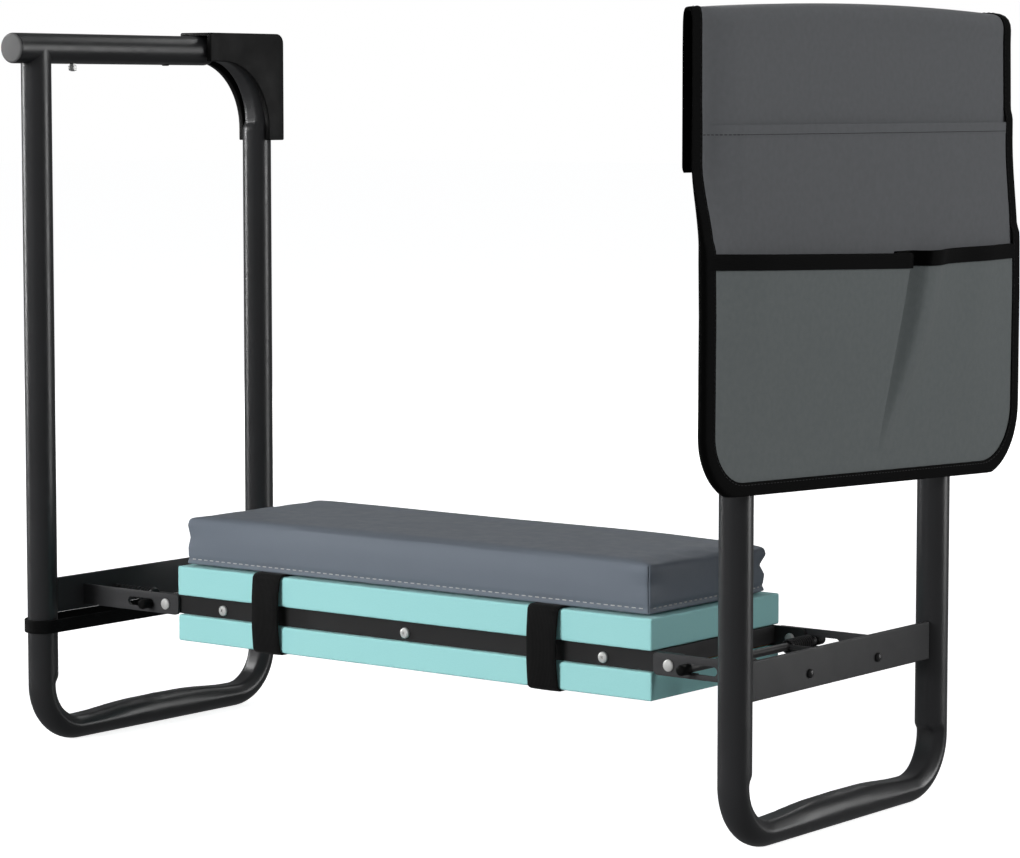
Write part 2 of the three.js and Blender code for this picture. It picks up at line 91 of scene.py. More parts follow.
class Look:
    """A Principled material with procedural colour, roughness and bump chained onto it."""

    def __init__(self, name, colour, roughness, metallic=0.0, **sockets):
        self.material = bpy.data.materials.new(name)
        self.material.use_nodes = True
        self.tree = self.material.node_tree
        self.shader = self.tree.nodes["Principled BSDF"]
        self.colour = srgb(*colour)
        self.shader.inputs["Base Color"].default_value = self.colour
        self.shader.inputs["Roughness"].default_value = roughness
        self.shader.inputs["Metallic"].default_value = metallic
        for socket, value in sockets.items():
            self.shader.inputs[socket.replace("_", " ")].default_value = value
        self.coords = self.node("ShaderNodeTexCoord").outputs["Object"]
        self.axes = self.node("ShaderNodeSeparateXYZ", Vector=self.coords).outputs
        self.material.diffuse_color = self.colour

    def node(self, kind, props=(), **inputs):
        made = self.tree.nodes.new(kind)
        for name, value in dict(props).items():
            setattr(made, name, value)
        for name, value in inputs.items():
            self.feed(made.inputs[name.replace("_", " ")], value)
        return made

    def feed(self, socket, value):
        if isinstance(value, bpy.types.NodeSocket):
            self.tree.links.new(value, socket)
        else:
            socket.default_value = value

    def math(self, operation, a, b=0.0):
        made = self.node("ShaderNodeMath", {"operation": operation})
        self.feed(made.inputs[0], a)
        self.feed(made.inputs[1], b)
        return made.outputs[0]

    def noise(self, scale, detail=3.0, stretch=None):
        vector = self.coords
        if stretch:
            vector = self.node("ShaderNodeMapping", Vector=vector, Scale=stretch).outputs[0]
        return self.node("ShaderNodeTexNoise", Vector=vector, Scale=scale, Detail=detail).outputs[0]

    def cells(self, scale, feature="F1"):
        made = self.node("ShaderNodeTexVoronoi", {"feature": feature}, Vector=self.coords,
                         Scale=scale)
        return made.outputs["Distance"]

    def spread(self, value, low, high, start=0.3, stop=0.7):
        made = self.node("ShaderNodeMapRange", Value=value, From_Min=start, From_Max=stop,
                         To_Min=low, To_Max=high)
        return made.outputs[0]

    def tint(self, amount, other):
        """Mixes the base colour with another one by a 0 to 1 value."""
        made = self.node("ShaderNodeMix", {"data_type": "RGBA"})
        self.feed(made.inputs[0], amount)
        base = self.shader.inputs["Base Color"]
        before = base.links[0].from_socket if base.is_linked else self.colour
        self.feed(made.inputs[6], before)
        self.feed(made.inputs[7], srgb(*other))
        self.feed(base, made.outputs[2])

    def rough(self, value):
        self.feed(self.shader.inputs["Roughness"], value)

    def bump(self, height, distance, strength=1.0):
        before = self.shader.inputs["Normal"]
        made = self.node("ShaderNodeBump", Height=height, Distance=distance, Strength=strength)
        if before.is_linked:
            self.feed(made.inputs["Normal"], before.links[0].from_socket)
        self.feed(before, made.outputs[0])

    def wave(self, along, pitch):
        """A sine ridge that repeats every pitch metres, from 0 to 1."""
        turn = self.math("MULTIPLY", along, 2 * math.pi / pitch)
        return self.math("MULTIPLY_ADD", self.math("SINE", turn), 0.5)


def metal_paint(name, colour, rough, peel=1.0, wear=(120, 120, 122), **sockets):
    look = Look(name, colour, rough, 0.0, **sockets)
    look.rough(look.spread(look.noise(60, 4), rough - 0.06, rough + 0.07))
    look.bump(look.noise(900, 2), 0.00005 * peel, 0.5)
    look.bump(look.noise(5200, 1), 0.000012 * peel, 0.5)
    if wear:
        edge = look.node("ShaderNodeNewGeometry").outputs["Pointiness"]
        scuffed = look.math("MULTIPLY", look.spread(edge, 0, 0.4, 0.58, 0.72),
                            look.spread(look.noise(140, 3), 0, 1, 0.45, 0.65))
        look.tint(scuffed, wear)
    look.tint(look.spread(look.noise(9, 3), 0, 0.08), (78, 78, 82))
    return look.material


def bright_metal(name, colour, rough):
    look = Look(name, colour, rough, 0.4)
    look.rough(look.spread(look.noise(700, 4), rough - 0.08, rough + 0.14))
    look.tint(look.spread(look.noise(300, 3), 0, 0.2), (170, 170, 166))
    look.bump(look.noise(1800, 3), 0.00002, 0.6)
    return look.material


def moulded_plastic(name, colour, rough, **sockets):
    look = Look(name, colour, rough, 0.0, **sockets)
    look.bump(look.cells(2200), 0.00004, 0.5)
    look.rough(look.spread(look.noise(80, 3), rough - 0.05, rough + 0.06))
    look.tint(look.spread(look.noise(25, 4), 0, 0.12), (60, 60, 60))
    return look.material


def foam_look(name):
    look = Look(name, (166, 227, 227), 0.78, 0.0, Sheen_Weight=0.12, Sheen_Roughness=0.5,
                Specular_IOR_Level=0.3)
    look.bump(look.cells(1300), 0.00010, 0.45)
    look.bump(look.noise(420, 3), 0.00010, 0.35)
    # Painted shade in the foam's pits: the colour goes darker teal at the cell centres, where the
    # bump above sinks in.
    look.tint(look.spread(look.cells(1300), 0.16, 0, 0.0, 0.45), (120, 196, 198))
    look.tint(look.spread(look.noise(22, 4), 0, 0.18), (176, 234, 231))
    return look.material


def board_look(name):
    look = Look(name, (138, 107, 69), 0.8)
    grain = look.noise(60, 6, (1, 12, 12))
    look.tint(look.spread(grain, 0, 0.6), (86, 62, 38))
    look.bump(grain, 0.0002, 0.4)
    return look.material


def coated_fabric(name):
    """The cushion's cover: a fine grained coated cloth with a satin face."""
    look = Look(name, (114, 122, 132), 0.58, 0.0, Sheen_Weight=0.06, Sheen_Roughness=0.4,
                Specular_IOR_Level=0.12)
    look.bump(look.cells(900), 0.00006, 0.35)
    look.bump(look.noise(2600, 2), 0.00003, 0.4)
    look.bump(look.noise(11, 2), 0.0012, 0.15)
    look.rough(look.spread(look.noise(120, 4), 0.48, 0.6))
    look.tint(look.spread(look.noise(30, 4), 0, 0.1), (100, 107, 117))
    return look.material


def woven(name, colour, shade, across, along, pitch, depth, rough=0.85, sheen=0.15, gloss=0.25):
    """Plain weave: two crossed sets of yarns, each passing over and under the other."""
    look = Look(name, colour, rough, 0.0, Sheen_Weight=sheen, Sheen_Roughness=0.5,
                Specular_IOR_Level=gloss)
    u, v = across(look), along(look)
    warp, weft = look.wave(u, pitch), look.wave(v, pitch)
    height = look.math("MULTIPLY", warp, weft)
    look.bump(height, depth, 0.7)
    # Painted shade in the weave's hollows: where the yarns dip under each other, the colour is mixed
    # towards the shade colour. The next line is random mottle in the same colour.
    look.tint(look.spread(height, 0.22, 0, 0, 0.6), shade)
    look.tint(look.spread(look.noise(260, 3), 0, 0.25), shade)
    look.bump(look.noise(30, 2), 0.0008, 0.15)
    return look.material


def ribbed(name, colour, shade, rib_axis, run, pitch, rough=0.8):
    """Narrow woven tape: ribs that run its length, crossed by a finer weft."""
    look = Look(name, colour, rough, 0.0, Sheen_Weight=0.05, Sheen_Roughness=0.45,
                Specular_IOR_Level=0.12)
    rib, weft = look.wave(rib_axis(look), pitch), look.wave(run(look), pitch * 0.45)
    look.bump(rib, 0.00018, 0.6)
    look.bump(weft, 0.00006, 0.5)
    # Painted shade in the grooves between the ribs: the colour is mixed towards the shade colour
    # there. The next line is random mottle in the same colour.
    look.tint(look.spread(rib, 0.5, 0, 0, 0.7), shade)
    look.tint(look.spread(look.noise(220, 3), 0, 0.35), shade)
    return look.material


def x_axis(look):
    return look.axes[0]


def y_axis(look):
    return look.axes[1]


def z_axis(look):
    return look.axes[2]


def down_and_round(look):
    """Distance down a cloth that hangs over the handle: height and depth added."""
    depth = look.math("ABSOLUTE", look.math("SUBTRACT", look.axes[0], BAG_PLANE))
    return look.math("SUBTRACT", look.axes[2], depth)


def round_the_pad(look):
    return look.math("ADD", look.axes[2], look.axes[1])


BAG_PLANE = leg_plane("right")
POWDER = metal_paint("powder_coat", (40, 40, 41), 0.34, Specular_IOR_Level=0.5)
BRACKET = metal_paint("bracket_coat", (62, 62, 63), 0.46, 0.8, Specular_IOR_Level=0.28)
STEEL = metal_paint("black_steel", (40, 39, 39), 0.42, 0.6, None, Specular_IOR_Level=0.4)
BRIGHT = bright_metal("bright_steel", (222, 222, 220), 0.4)
PLASTIC = moulded_plastic("black_plastic", (10, 10, 10), 0.5, Specular_IOR_Level=0.12)
GREY = moulded_plastic("grey_plastic", (100, 100, 100), 0.5, Specular_IOR_Level=0.3)
FOAM = foam_look("teal_foam")
BOARD = board_look("board")
VINYL = coated_fabric("vinyl")
THREAD = woven("pale_thread", (196, 196, 194), (150, 150, 150), x_axis, z_axis, 0.5 * MM,
               0.05 * MM, 0.7)
DARK_THREAD = woven("dark_thread", (30, 30, 31), (14, 14, 14), y_axis, z_axis, 0.5 * MM,
                    0.05 * MM, 0.7)
ELASTIC = ribbed("elastic", (21, 21, 21), (9, 9, 9), x_axis, round_the_pad, 1.1 * MM)
LOOP_ELASTIC = ribbed("loop_elastic", (17, 17, 17), (8, 8, 8), z_axis, y_axis, 1.1 * MM)
BAG_UPPER = woven("bag_cloth", (128, 130, 133), (104, 106, 109), y_axis, down_and_round, 0.55 * MM,
                  0.07 * MM)
BAG_LOWER = woven("bag_pocket_cloth", (136, 142, 142), (110, 117, 117), y_axis, down_and_round,
                  0.55 * MM, 0.07 * MM)
BINDING = woven("binding_tape", (7, 7, 7), (3, 3, 3), y_axis, down_and_round, 0.9 * MM,
                0.10 * MM, 0.85, 0.01, 0.08)


# ------------------------------------------------------------------ mesh helpers
def make(name, shape, look, body, replaces=(), sharp=40):
    points, faces = shape
    mesh = bpy.data.meshes.new(name)
    mesh.from_pydata([tuple(map(float, p)) for p in points], [], faces)
    obj = bpy.data.objects.new(name, mesh)
    bpy.context.scene.collection.objects.link(obj)
    return settle(obj, look, body, replaces, sharp)


def settle(obj, look, body, replaces=(), sharp=40):
    """Smooth shading with sharp edges, the material and the body of a finished mesh; hides the parts
    it replaces.
    """
    obj.data.materials.clear()
    obj.data.materials.append(look)
    obj.data.shade_smooth()
    obj.data.set_sharp_from_angle(angle=math.radians(sharp))
    obj.data.update()
    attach(obj, body)
    if replaces:
        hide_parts(*replaces)
    return obj


def loft(rings, closed=False):
    """A skin through rings of points; unless it is closed, both ends are capped."""
    rings = np.asarray(rings, float)
    count, around = rings.shape[:2]
    faces = []
    for i in range(count if closed else count - 1):
        j = (i + 1) % count
        for a in range(around):
            b = (a + 1) % around
            faces.append((i * around + a, i * around + b, j * around + b, j * around + a))
    if not closed:
        first, last = tuple(range(around)), tuple(range((count - 1) * around, count * around))
        faces += [first[::-1], last]
    return rings.reshape(-1, 3), faces


def join_shapes(shapes):
    points, faces = [], []
    for more_points, more_faces in shapes:
        start = len(points)
        points.extend(more_points)
        faces.extend([tuple(start + i for i in face) for face in more_faces])
    return points, faces


def frame_about(axis):
    """Two directions square to an axis."""
    axis = np.asarray(axis, float) / np.linalg.norm(axis)
    helper = Z if abs(axis[2]) < 0.9 else X
    side = np.cross(axis, helper)
    side /= np.linalg.norm(side)
    return axis, side, np.cross(axis, side)


def turned(profile, origin, axis, sides=40):
    """A turned piece: profile points are (radius, distance along the axis)."""
    axis, side, up = frame_about(axis)
    angles = np.arange(sides) * 2 * math.pi / sides
    spokes = np.cos(angles)[:, None] * side + np.sin(angles)[:, None] * up
    return loft([np.asarray(origin) + axis * h + spokes * r for r, h in profile])


def rounded(points, radius, steps=4):
    """A closed 2-D outline whose corners are replaced with arcs."""
    points = np.asarray(points, float)
    outline = []
    for i, here in enumerate(points):
        before, after = points[i - 1] - here, points[(i + 1) % len(points)] - here
        a, b = before / np.linalg.norm(before), after / np.linalg.norm(after)
        half = math.acos(np.clip(a @ b, -1, 1)) / 2
        r = radius[i] if hasattr(radius, "__len__") else radius
        if r <= 0:
            outline.append(here)
            continue
        reach = r / math.tan(half)
        centre = here + (a + b) / np.linalg.norm(a + b) * r / math.sin(half)
        start, stop = here + a * reach - centre, here + b * reach - centre
        sweep = math.atan2(start[0] * stop[1] - start[1] * stop[0], start @ stop)
        for k in range(steps + 1):
            turn = sweep * k / steps
            c, s = math.cos(turn), math.sin(turn)
            outline.append(centre + np.array([c * start[0] - s * start[1],
                                              s * start[0] + c * start[1]]))
    return np.array(outline)


def plate(name, loops, thickness, place, edge=0.3 * MM):
    """A flat plate with holes and softened edges, from a filled 2-D curve. place maps its
    (x, y, z) to the frame."""
    curve = bpy.data.curves.new(name, "CURVE")
    curve.dimensions, curve.fill_mode = "2D", "BOTH"
    curve.extrude, curve.bevel_depth = thickness / 2 - edge, edge
    curve.offset, curve.bevel_resolution = -edge, 2
    for loop in loops:
        spline = curve.splines.new("POLY")
        spline.points.add(len(loop) - 1)
        spline.use_cyclic_u = True
        for point, (a, b) in zip(spline.points, loop):
            point.co = (a, b, 0, 1)
    holder = bpy.data.objects.new(name + "_curve", curve)
    bpy.context.scene.collection.objects.link(holder)
    bpy.context.view_layer.update()
    mesh = bpy.data.meshes.new_from_object(holder)
    bpy.data.objects.remove(holder)
    points = np.array([place(*v.co) for v in mesh.vertices])
    faces = [tuple(p.vertices) for p in mesh.polygons]
    bpy.data.meshes.remove(mesh)
    return points, faces


def tidy_normals(obj):
    """Welds doubled points and turns every face outward."""
    made = bmesh.new()
    made.from_mesh(obj.data)
    bmesh.ops.remove_doubles(made, verts=made.verts, dist=1e-6)
    bmesh.ops.recalc_face_normals(made, faces=made.faces)
    made.to_mesh(obj.data)
    made.free()


def apply_modifiers(obj):
    deps = bpy.context.evaluated_depsgraph_get()
    mesh = bpy.data.meshes.new_from_object(obj.evaluated_get(deps))
    obj.modifiers.clear()
    obj.data = mesh


def smooth(t):
    t = np.clip(t, 0, 1)
    return t * t * (3 - 2 * t)


def box_shell(xs, ys, zs):
    """The surface of a lattice box as shared points and quads; returns lattice indices too."""
    index, points, keys, faces = {}, [], [], []
    nx, ny, nz = len(xs) - 1, len(ys) - 1, len(zs) - 1

    def at(i, j, k):
        if (i, j, k) not in index:
            index[(i, j, k)] = len(points)
            points.append((xs[i], ys[j], zs[k]))
            keys.append((i, j, k))
        return index[(i, j, k)]

    for i in range(nx):
        for j in range(ny):
            faces.append((at(i, j, 0), at(i, j + 1, 0), at(i + 1, j + 1, 0), at(i + 1, j, 0)))
            faces.append((at(i, j, nz), at(i + 1, j, nz), at(i + 1, j + 1, nz), at(i, j + 1, nz)))
    for i in range(nx):
        for k in range(nz):
            faces.append((at(i, 0, k), at(i + 1, 0, k), at(i + 1, 0, k + 1), at(i, 0, k + 1)))
            faces.append((at(i, ny, k), at(i, ny, k + 1), at(i + 1, ny, k + 1), at(i + 1, ny, k)))
    for j in range(ny):
        for k in range(nz):
            faces.append((at(0, j, k), at(0, j, k + 1), at(0, j + 1, k + 1), at(0, j + 1, k)))
            faces.append((at(nx, j, k), at(nx, j + 1, k), at(nx, j + 1, k + 1), at(nx, j, k + 1)))
    return np.array(points), faces, np.array(keys)


def edge_dense(lo, hi, near, step):
    """Lattice lines from lo to hi: close together near both ends and even between them."""
    inner = np.linspace(lo + near[-1], hi - near[-1], max(2, round((hi - lo) / step)))
    return np.concatenate([[lo + d for d in near[:-1]], inner, [hi - d for d in near[-2::-1]]])


def round_box(points, lo, hi, radius):
    """Pulls the edges of a box in to a radius, which may differ from point to point."""
    radius = np.broadcast_to(np.asarray(radius, float), (len(points),))[:, None]
    core = np.clip(points, lo + radius, hi - radius)
    away = points - core
    length = np.maximum(np.linalg.norm(away, axis=1, keepdims=True), 1e-9)
    return np.where(length > 1e-8, core + away / length * np.minimum(radius, length), points)


# ------------------------------------------------------------------ leg tubes
RING = np.arange(48) * 2 * math.pi / 48
FLAT_DEPTH = 0.42
PINCH = 0.5


def tube_stations():
    """Route of a leg tube in (y, z), with the direction to the inside and how flat it is there."""
    rows = []

    def run(y0, z0, y1, z1, inward, flat0, flat1, steps):
        for t in np.linspace(0, 1, steps):
            flat = flat0 + (flat1 - flat0) * smooth(t)
            rows.append(((y0 + (y1 - y0) * t, z0 + (z1 - z0) * t), inward, flat))

    def arc(cy, cz, r, start, stop, steps):
        for t in np.linspace(0, 1, steps)[1:-1]:
            a = math.radians(start + (stop - start) * t)
            rows.append(((cy + r * math.cos(a), cz + r * math.sin(a)),
                         (-math.cos(a), -math.sin(a)), 1.0))

    top_y, top_z = UPRIGHT_Y - TOP_BEND_R, HANDLE_Z - TOP_BEND_R
    foot_y, foot_z = UPRIGHT_Y - FOOT_BEND_R, TUBE_R + FOOT_BEND_R
    near_end = -UPRIGHT_Y
    crease, fade = 7 * MM, 62 * MM
    run(HANDLE_END_Y, HANDLE_Z, top_y - crease, HANDLE_Z, (0, -1), 0, 0, 12)
    run(top_y - crease, HANDLE_Z, top_y, HANDLE_Z, (0, -1), 0, 1, 6)
    arc(top_y, top_z, TOP_BEND_R, 90, 0, 32)
    run(UPRIGHT_Y, top_z, UPRIGHT_Y, top_z - crease, (-1, 0), 1, 0, 6)
    run(UPRIGHT_Y, top_z - crease - MM, UPRIGHT_Y, foot_z + crease, (-1, 0), 0, 0, 10)
    run(UPRIGHT_Y, foot_z + crease - MM, UPRIGHT_Y, foot_z, (-1, 0), 0, 1, 6)
    arc(foot_y, foot_z, FOOT_BEND_R, 0, -90, 28)
    run(foot_y, TUBE_R, foot_y - fade, TUBE_R, (0, 1), 1, 0.1, 14)
    run(foot_y - fade - MM, TUBE_R, 0, TUBE_R, (0, 1), 0.1, 0, 8)
    run(-MM, TUBE_R, fade + MM - foot_y, TUBE_R, (0, 1), 0, 0.1, 8)
    run(fade - foot_y, TUBE_R, -foot_y, TUBE_R, (0, 1), 0.1, 1, 14)
    arc(-foot_y, foot_z, FOOT_BEND_R, -90, -180, 28)
    run(near_end, foot_z, near_end, foot_z + crease, (1, 0), 1, 0, 6)
    run(near_end, foot_z + crease + MM, near_end, HANDLE_Z - 2 * TUBE_R, (1, 0), 0, 0, 12)
    return rows


def tube_rings(x):
    rings = []
    for (y, z), (iy, iz), flat in tube_stations():
        inward = np.cos(RING)
        limit = 1 - FLAT_DEPTH * flat
        reach = np.where(inward > 0.05, limit / np.maximum(inward, 0.05), 9)
        r = TUBE_R * -np.log(np.exp(-24.0) + np.exp(-24 * np.minimum(reach, 1.5))) / 24
        r = np.minimum(np.where(flat > 0, np.minimum(r, TUBE_R), TUBE_R), TUBE_R)
        narrow = 1 - PINCH * flat * np.clip(inward, 0, 1)
        rings.append(np.stack([x + r * np.sin(RING) * narrow,
                               y + iy * r * inward, z + iz * r * inward], 1))
    cope_y = -UPRIGHT_Y + TUBE_R * np.cos(RING)
    cope_z = HANDLE_Z - TUBE_R * np.abs(np.cos(RING)) + 0.4 * MM
    rings.append(np.stack([x + TUBE_R * np.sin(RING), cope_y, cope_z], 1))
    return rings


def leg_tube(leg, x):
    points, faces = loft(tube_rings(x))
    end = len(points)
    last = faces.pop()
    points = np.vstack([points, [x, -UPRIGHT_Y, HANDLE_Z]])
    faces += [(last[i], last[(i + 1) % len(last)], end) for i in range(len(last))]
    obj = make(f"{leg}_frame_tube", (points, faces), POWDER, f"{leg}_leg",
               [f"{leg}_leg_tube"], 30)
    tidy_normals(obj)
    obj.data.set_sharp_from_angle(angle=math.radians(34))


# ------------------------------------------------------------------ handle fittings
def handle_fittings(leg, x):
    body = f"{leg}_leg"
    lo, _ = corners(f"{leg}_handle_cap")
    face, r = lo[1], TUBE_R - 0.35 * MM
    seat = HANDLE_END_Y - 0.2 * MM
    profile = [(r - 1.6 * MM, -face), (r - 1.0 * MM, -face - 0.05 * MM),
               (r - 0.35 * MM, -face - 0.4 * MM), (r, -face - 0.9 * MM), (r, -seat),
               (r - 1.6 * MM, -seat), (r - 1.6 * MM, -seat - 8 * MM)]
    make(f"{leg}_handle_end_cap", turned(profile, (x, 0, HANDLE_Z), -Y, 56), GREY, body,
         [f"{leg}_handle_cap"])

    lo, hi = corners(f"{leg}_handle_screw")
    y, low = (lo[1] + hi[1]) / 2, lo[2]
    top = HANDLE_Z - TUBE_R + 1 * MM
    hexagon = [(2.4 * MM, low), (3.0 * MM, low + 0.5 * MM), (3.0 * MM, low + 3.4 * MM),
               (2.2 * MM, low + 3.6 * MM), (2.2 * MM, top)]
    shapes = [turned(hexagon, (x, y, 0), Z, 6),
              turned([(1.3 * MM, low - 0.4 * MM), (1.5 * MM, low - 0.1 * MM), (1.5 * MM, low + MM)],
                     (x, y, 0), Z, 20)]
    make(f"{leg}_handle_bolt", join_shapes(shapes), BRIGHT, body,
         [f"{leg}_handle_screw"], 25)

    lo, hi = corners(f"{leg}_handle_plug")
    y, low = (lo[1] + hi[1]) / 2, HANDLE_Z - TUBE_R - 0.6 * MM
    button = [(1.6 * MM, low), (2.2 * MM, low + 0.12 * MM), (2.6 * MM, low + 0.45 * MM),
              (2.6 * MM, top)]
    make(f"{leg}_handle_button", turned(button, (x, y, 0), Z, 24), PLASTIC, body,
         [f"{leg}_handle_plug"])


def corner_cover(leg, x):
    """A moulded channel round the far top bend, open on the inside of the bend."""
    lo, hi = corners(f"{leg}_corner_cover")
    y0, y1, z0, z1 = lo[1], hi[1], lo[2], hi[2]
    half = (hi[0] - lo[0]) / 2
    wall = half - TUBE_R - 0.4 * MM
    inner_r, inner_y, inner_z = 48 * MM, y0 + 14 * MM, z1 - 68.6 * MM
    arc = [(inner_y + inner_r * math.sin(a), inner_z + inner_r * math.cos(a))
           for a in np.linspace(0, math.pi / 2, 25)]
    outer = rounded([(y0, z0), (y0, z1), (y1, z1), (y1, z0)], [0, 1.5 * MM, 7 * MM, 1.2 * MM], 6)
    outline = list(outer[1:]) + [(arc[-1][0], z0)] + arc[::-1] + [(y0, arc[0][1])]
    bend_y, bend_z = UPRIGHT_Y - TOP_BEND_R, HANDLE_Z - TOP_BEND_R
    reach = TOP_BEND_R + TUBE_R + 0.3 * MM
    channel = [(y0 - 9 * MM, bend_z + reach)]
    channel += [(bend_y + reach * math.sin(a), bend_z + reach * math.cos(a))
                for a in np.linspace(0, math.pi / 2, 25)]
    channel += [(bend_y + reach, z0 - 9 * MM), (y0 - 9 * MM, z0 - 9 * MM)]

    def prism(shape, w):
        return loft([[(x + side * w, a, b) for a, b in shape] for side in (-1, 1)])

    blank = make(f"{leg}_bend_cover", prism(outline, half), PLASTIC, f"{leg}_leg",
                 [f"{leg}_corner_cover"])
    cutter = make(f"{leg}_cover_cutter", prism(channel, half - wall), PLASTIC, f"{leg}_leg")
    tidy_normals(blank)
    tidy_normals(cutter)
    cut = blank.modifiers.new("channel", "BOOLEAN")
    cut.operation, cut.object, cut.solver = "DIFFERENCE", cutter, "EXACT"
    soften(blank, 0.7 * MM, 3)
    apply_modifiers(blank)
    bpy.data.objects.remove(cutter)
    blank.data.shade_smooth()
    blank.data.set_sharp_from_angle(angle=math.radians(32))


def soften(obj, width, segments=2, angle=35):
    bevel = obj.modifiers.new("edges", "BEVEL")
    bevel.width, bevel.segments = width, segments
    bevel.limit_method, bevel.angle_limit = "ANGLE", math.radians(angle)
    bevel.use_clamp_overlap = True


# ------------------------------------------------------------------ brackets and lock
def circle(cx, cz, r, sides=28):
    a = np.arange(sides) * 2 * math.pi / sides
    return np.stack([cx + r * np.cos(a), cz + r * np.sin(a)], 1)


def bracket(leg, side):
    """The crossbar plate and its two slotted arms. Distances run outward from the seat."""
    lo, hi = corners(f"{leg}_leg_bracket")
    rod_lo, rod_hi = corners(f"{leg}_lock_rod")
    rivet_lo, rivet_hi = corners(f"{leg}_front_pivot_rivet")
    rod_x, rod_z = (rod_lo[0] + rod_hi[0]) / 2, (rod_lo[2] + rod_hi[2]) / 2
    rod_r = (rod_hi[0] - rod_lo[0]) / 2
    outer_x, inner_x = (hi[0], lo[0]) if side > 0 else (lo[0], hi[0])
    pivot_x, pivot_z = (rivet_lo[0] + rivet_hi[0]) / 2, (rivet_lo[2] + rivet_hi[2]) / 2
    web, arm = 3 * MM, 2.5 * MM
    arm_y = rivet_lo[1] + 1.8 * MM
    low, high = pivot_z - 6.8 * MM, pivot_z + 7.2 * MM
    length = abs(outer_x - inner_x) - web + 0.5 * MM
    slot_half, slot_start = 3 * MM, abs(rod_x - inner_x) - 3 * MM
    slot_end = slot_start + 23.9 * MM
    outline = rounded([(0, low), (length, low), (length, high), (0, high)],
                      [3.5 * MM, 0, 0, 2.5 * MM])
    slot = rounded([(slot_start, rod_z - slot_half), (slot_end, rod_z - slot_half),
                    (slot_end, rod_z + slot_half), (slot_start, rod_z + slot_half)],
                   slot_half * 0.99, 8)
    hole = circle(abs(pivot_x - inner_x), pivot_z, 2.9 * MM)
    shapes = []
    for y in (arm_y + arm / 2, -arm_y - arm / 2):
        shapes.append(plate("arm", [outline, slot, hole], arm,
                            lambda a, b, c, y=y: (inner_x + side * a, y + c, b)))
    web_outline = rounded([(lo[1], lo[2]), (hi[1], lo[2]), (hi[1], hi[2]), (lo[1], hi[2])], 0.8 * MM)
    shapes.append(plate("web", [web_outline], web,
                        lambda a, b, c: (outer_x - side * (web / 2 + c), a, b), 0.45 * MM))
    obj = make(f"{leg}_folding_bracket", join_shapes(shapes), BRACKET, f"{leg}_leg",
               [f"{leg}_leg_bracket"], 40)
    tidy_normals(obj)
    lock_parts(leg, side, rod_x, rod_z, rod_r, outer_x)


def lock_parts(leg, side, rod_x, rod_z, rod_r, outer_x):
    lock = f"{leg}_lock"
    lo, hi = corners(f"{leg}_lock_rod")
    reach = hi[1]
    profile = [(rod_r - 0.3 * MM, -reach), (rod_r, -reach + 0.3 * MM), (rod_r, reach - 0.3 * MM),
               (rod_r - 0.3 * MM, reach)]
    make(f"{leg}_lock_bar", turned(profile, (rod_x, 0, rod_z), Y, 28), STEEL, lock,
         [f"{leg}_lock_rod"])
    for where, sign in SIDES:
        lo, hi = corners(f"{leg}_{where}_rod_cap")
        inner, outer = (lo[1], hi[1]) if sign > 0 else (-hi[1], -lo[1])
        r = (hi[0] - lo[0]) / 2
        cap = [(rod_r + 0.1 * MM, inner), (r - 0.2 * MM, inner), (r, inner + 0.3 * MM),
               (r, outer - 1.2 * MM), (r - 0.3 * MM, outer - 0.5 * MM), (r - MM, outer - 0.1 * MM),
               (r - 1.8 * MM, outer)]
        make(f"{leg}_{where}_end_cap", turned(cap, (rod_x, 0, rod_z), sign * Y, 32), PLASTIC,
             lock, [f"{leg}_{where}_rod_cap"])
        pin(leg, where, side, rod_x, rod_r, rod_z)
    pin_spring(leg, side, rod_z)
    rod_spring(leg, rod_x, rod_z)


def pin(leg, where, side, rod_x, rod_r, rod_z):
    node = f"{leg}_{where}_guide_pin"
    lo, hi = corners(node)
    y = (lo[1] + hi[1]) / 2
    length = hi[0] - lo[0]
    start = lo[0] if side > 0 else hi[0]
    shank, head = 1.6 * MM, 2.9 * MM
    profile = [(shank, -0.4 * MM)]
    if hi[2] - lo[2] > 7 * MM:
        spring_lo, spring_hi = corners(f"{leg}_pin_spring")
        collar = abs((spring_lo[0] if side > 0 else spring_hi[0]) - start) - 0.3 * MM
        r = (hi[2] - lo[2]) / 2
        profile += [(shank, collar - 3 * MM), (r - 0.9 * MM, collar - 3 * MM),
                    (r, collar - 2.2 * MM), (r, collar - 0.8 * MM), (r - 0.7 * MM, collar),
                    (shank, collar)]
    seat = length - 2.2 * MM
    profile += [(shank, seat), (head, seat), (head, seat + 0.4 * MM),
                (head * 0.93, seat + 1.1 * MM), (head * 0.7, seat + 1.7 * MM),
                (head * 0.4, seat + 2.05 * MM), (head * 0.12, seat + 2.2 * MM)]
    make(f"{leg}_{where}_slide_pin", turned(profile, (start, y, rod_z), side * X, 28), STEEL,
         f"{leg}_lock", [node])


def coil(origin, axis, radius, wire, length, turns, per_turn=20, around=8, close=1.2):
    """A wire wound round an axis, with its end turns closed up."""
    axis, side, up = frame_about(axis)
    count = int(turns * per_turn) + 1
    angle = np.arange(count) / per_turn * 2 * math.pi
    t = angle / angle[-1]
    ease = close * 2 * wire / length
    along = wire + (length - 2 * wire) * np.interp(t, [0, 1 / turns, 1 - 1 / turns, 1],
                                                   [0, ease, 1 - ease, 1])
    centre = (np.asarray(origin) + np.outer(along, axis)
              + radius * (np.outer(np.cos(angle), side) + np.outer(np.sin(angle), up)))
    tangent = np.gradient(centre, axis=0)
    tangent /= np.linalg.norm(tangent, axis=1, keepdims=True)
    outward = np.outer(np.cos(angle), side) + np.outer(np.sin(angle), up)
    across = np.cross(tangent, outward)
    ring = np.arange(around) * 2 * math.pi / around
    return loft(centre[:, None] + wire * (np.cos(ring)[None, :, None] * outward[:, None]
                                          + np.sin(ring)[None, :, None] * across[:, None]))


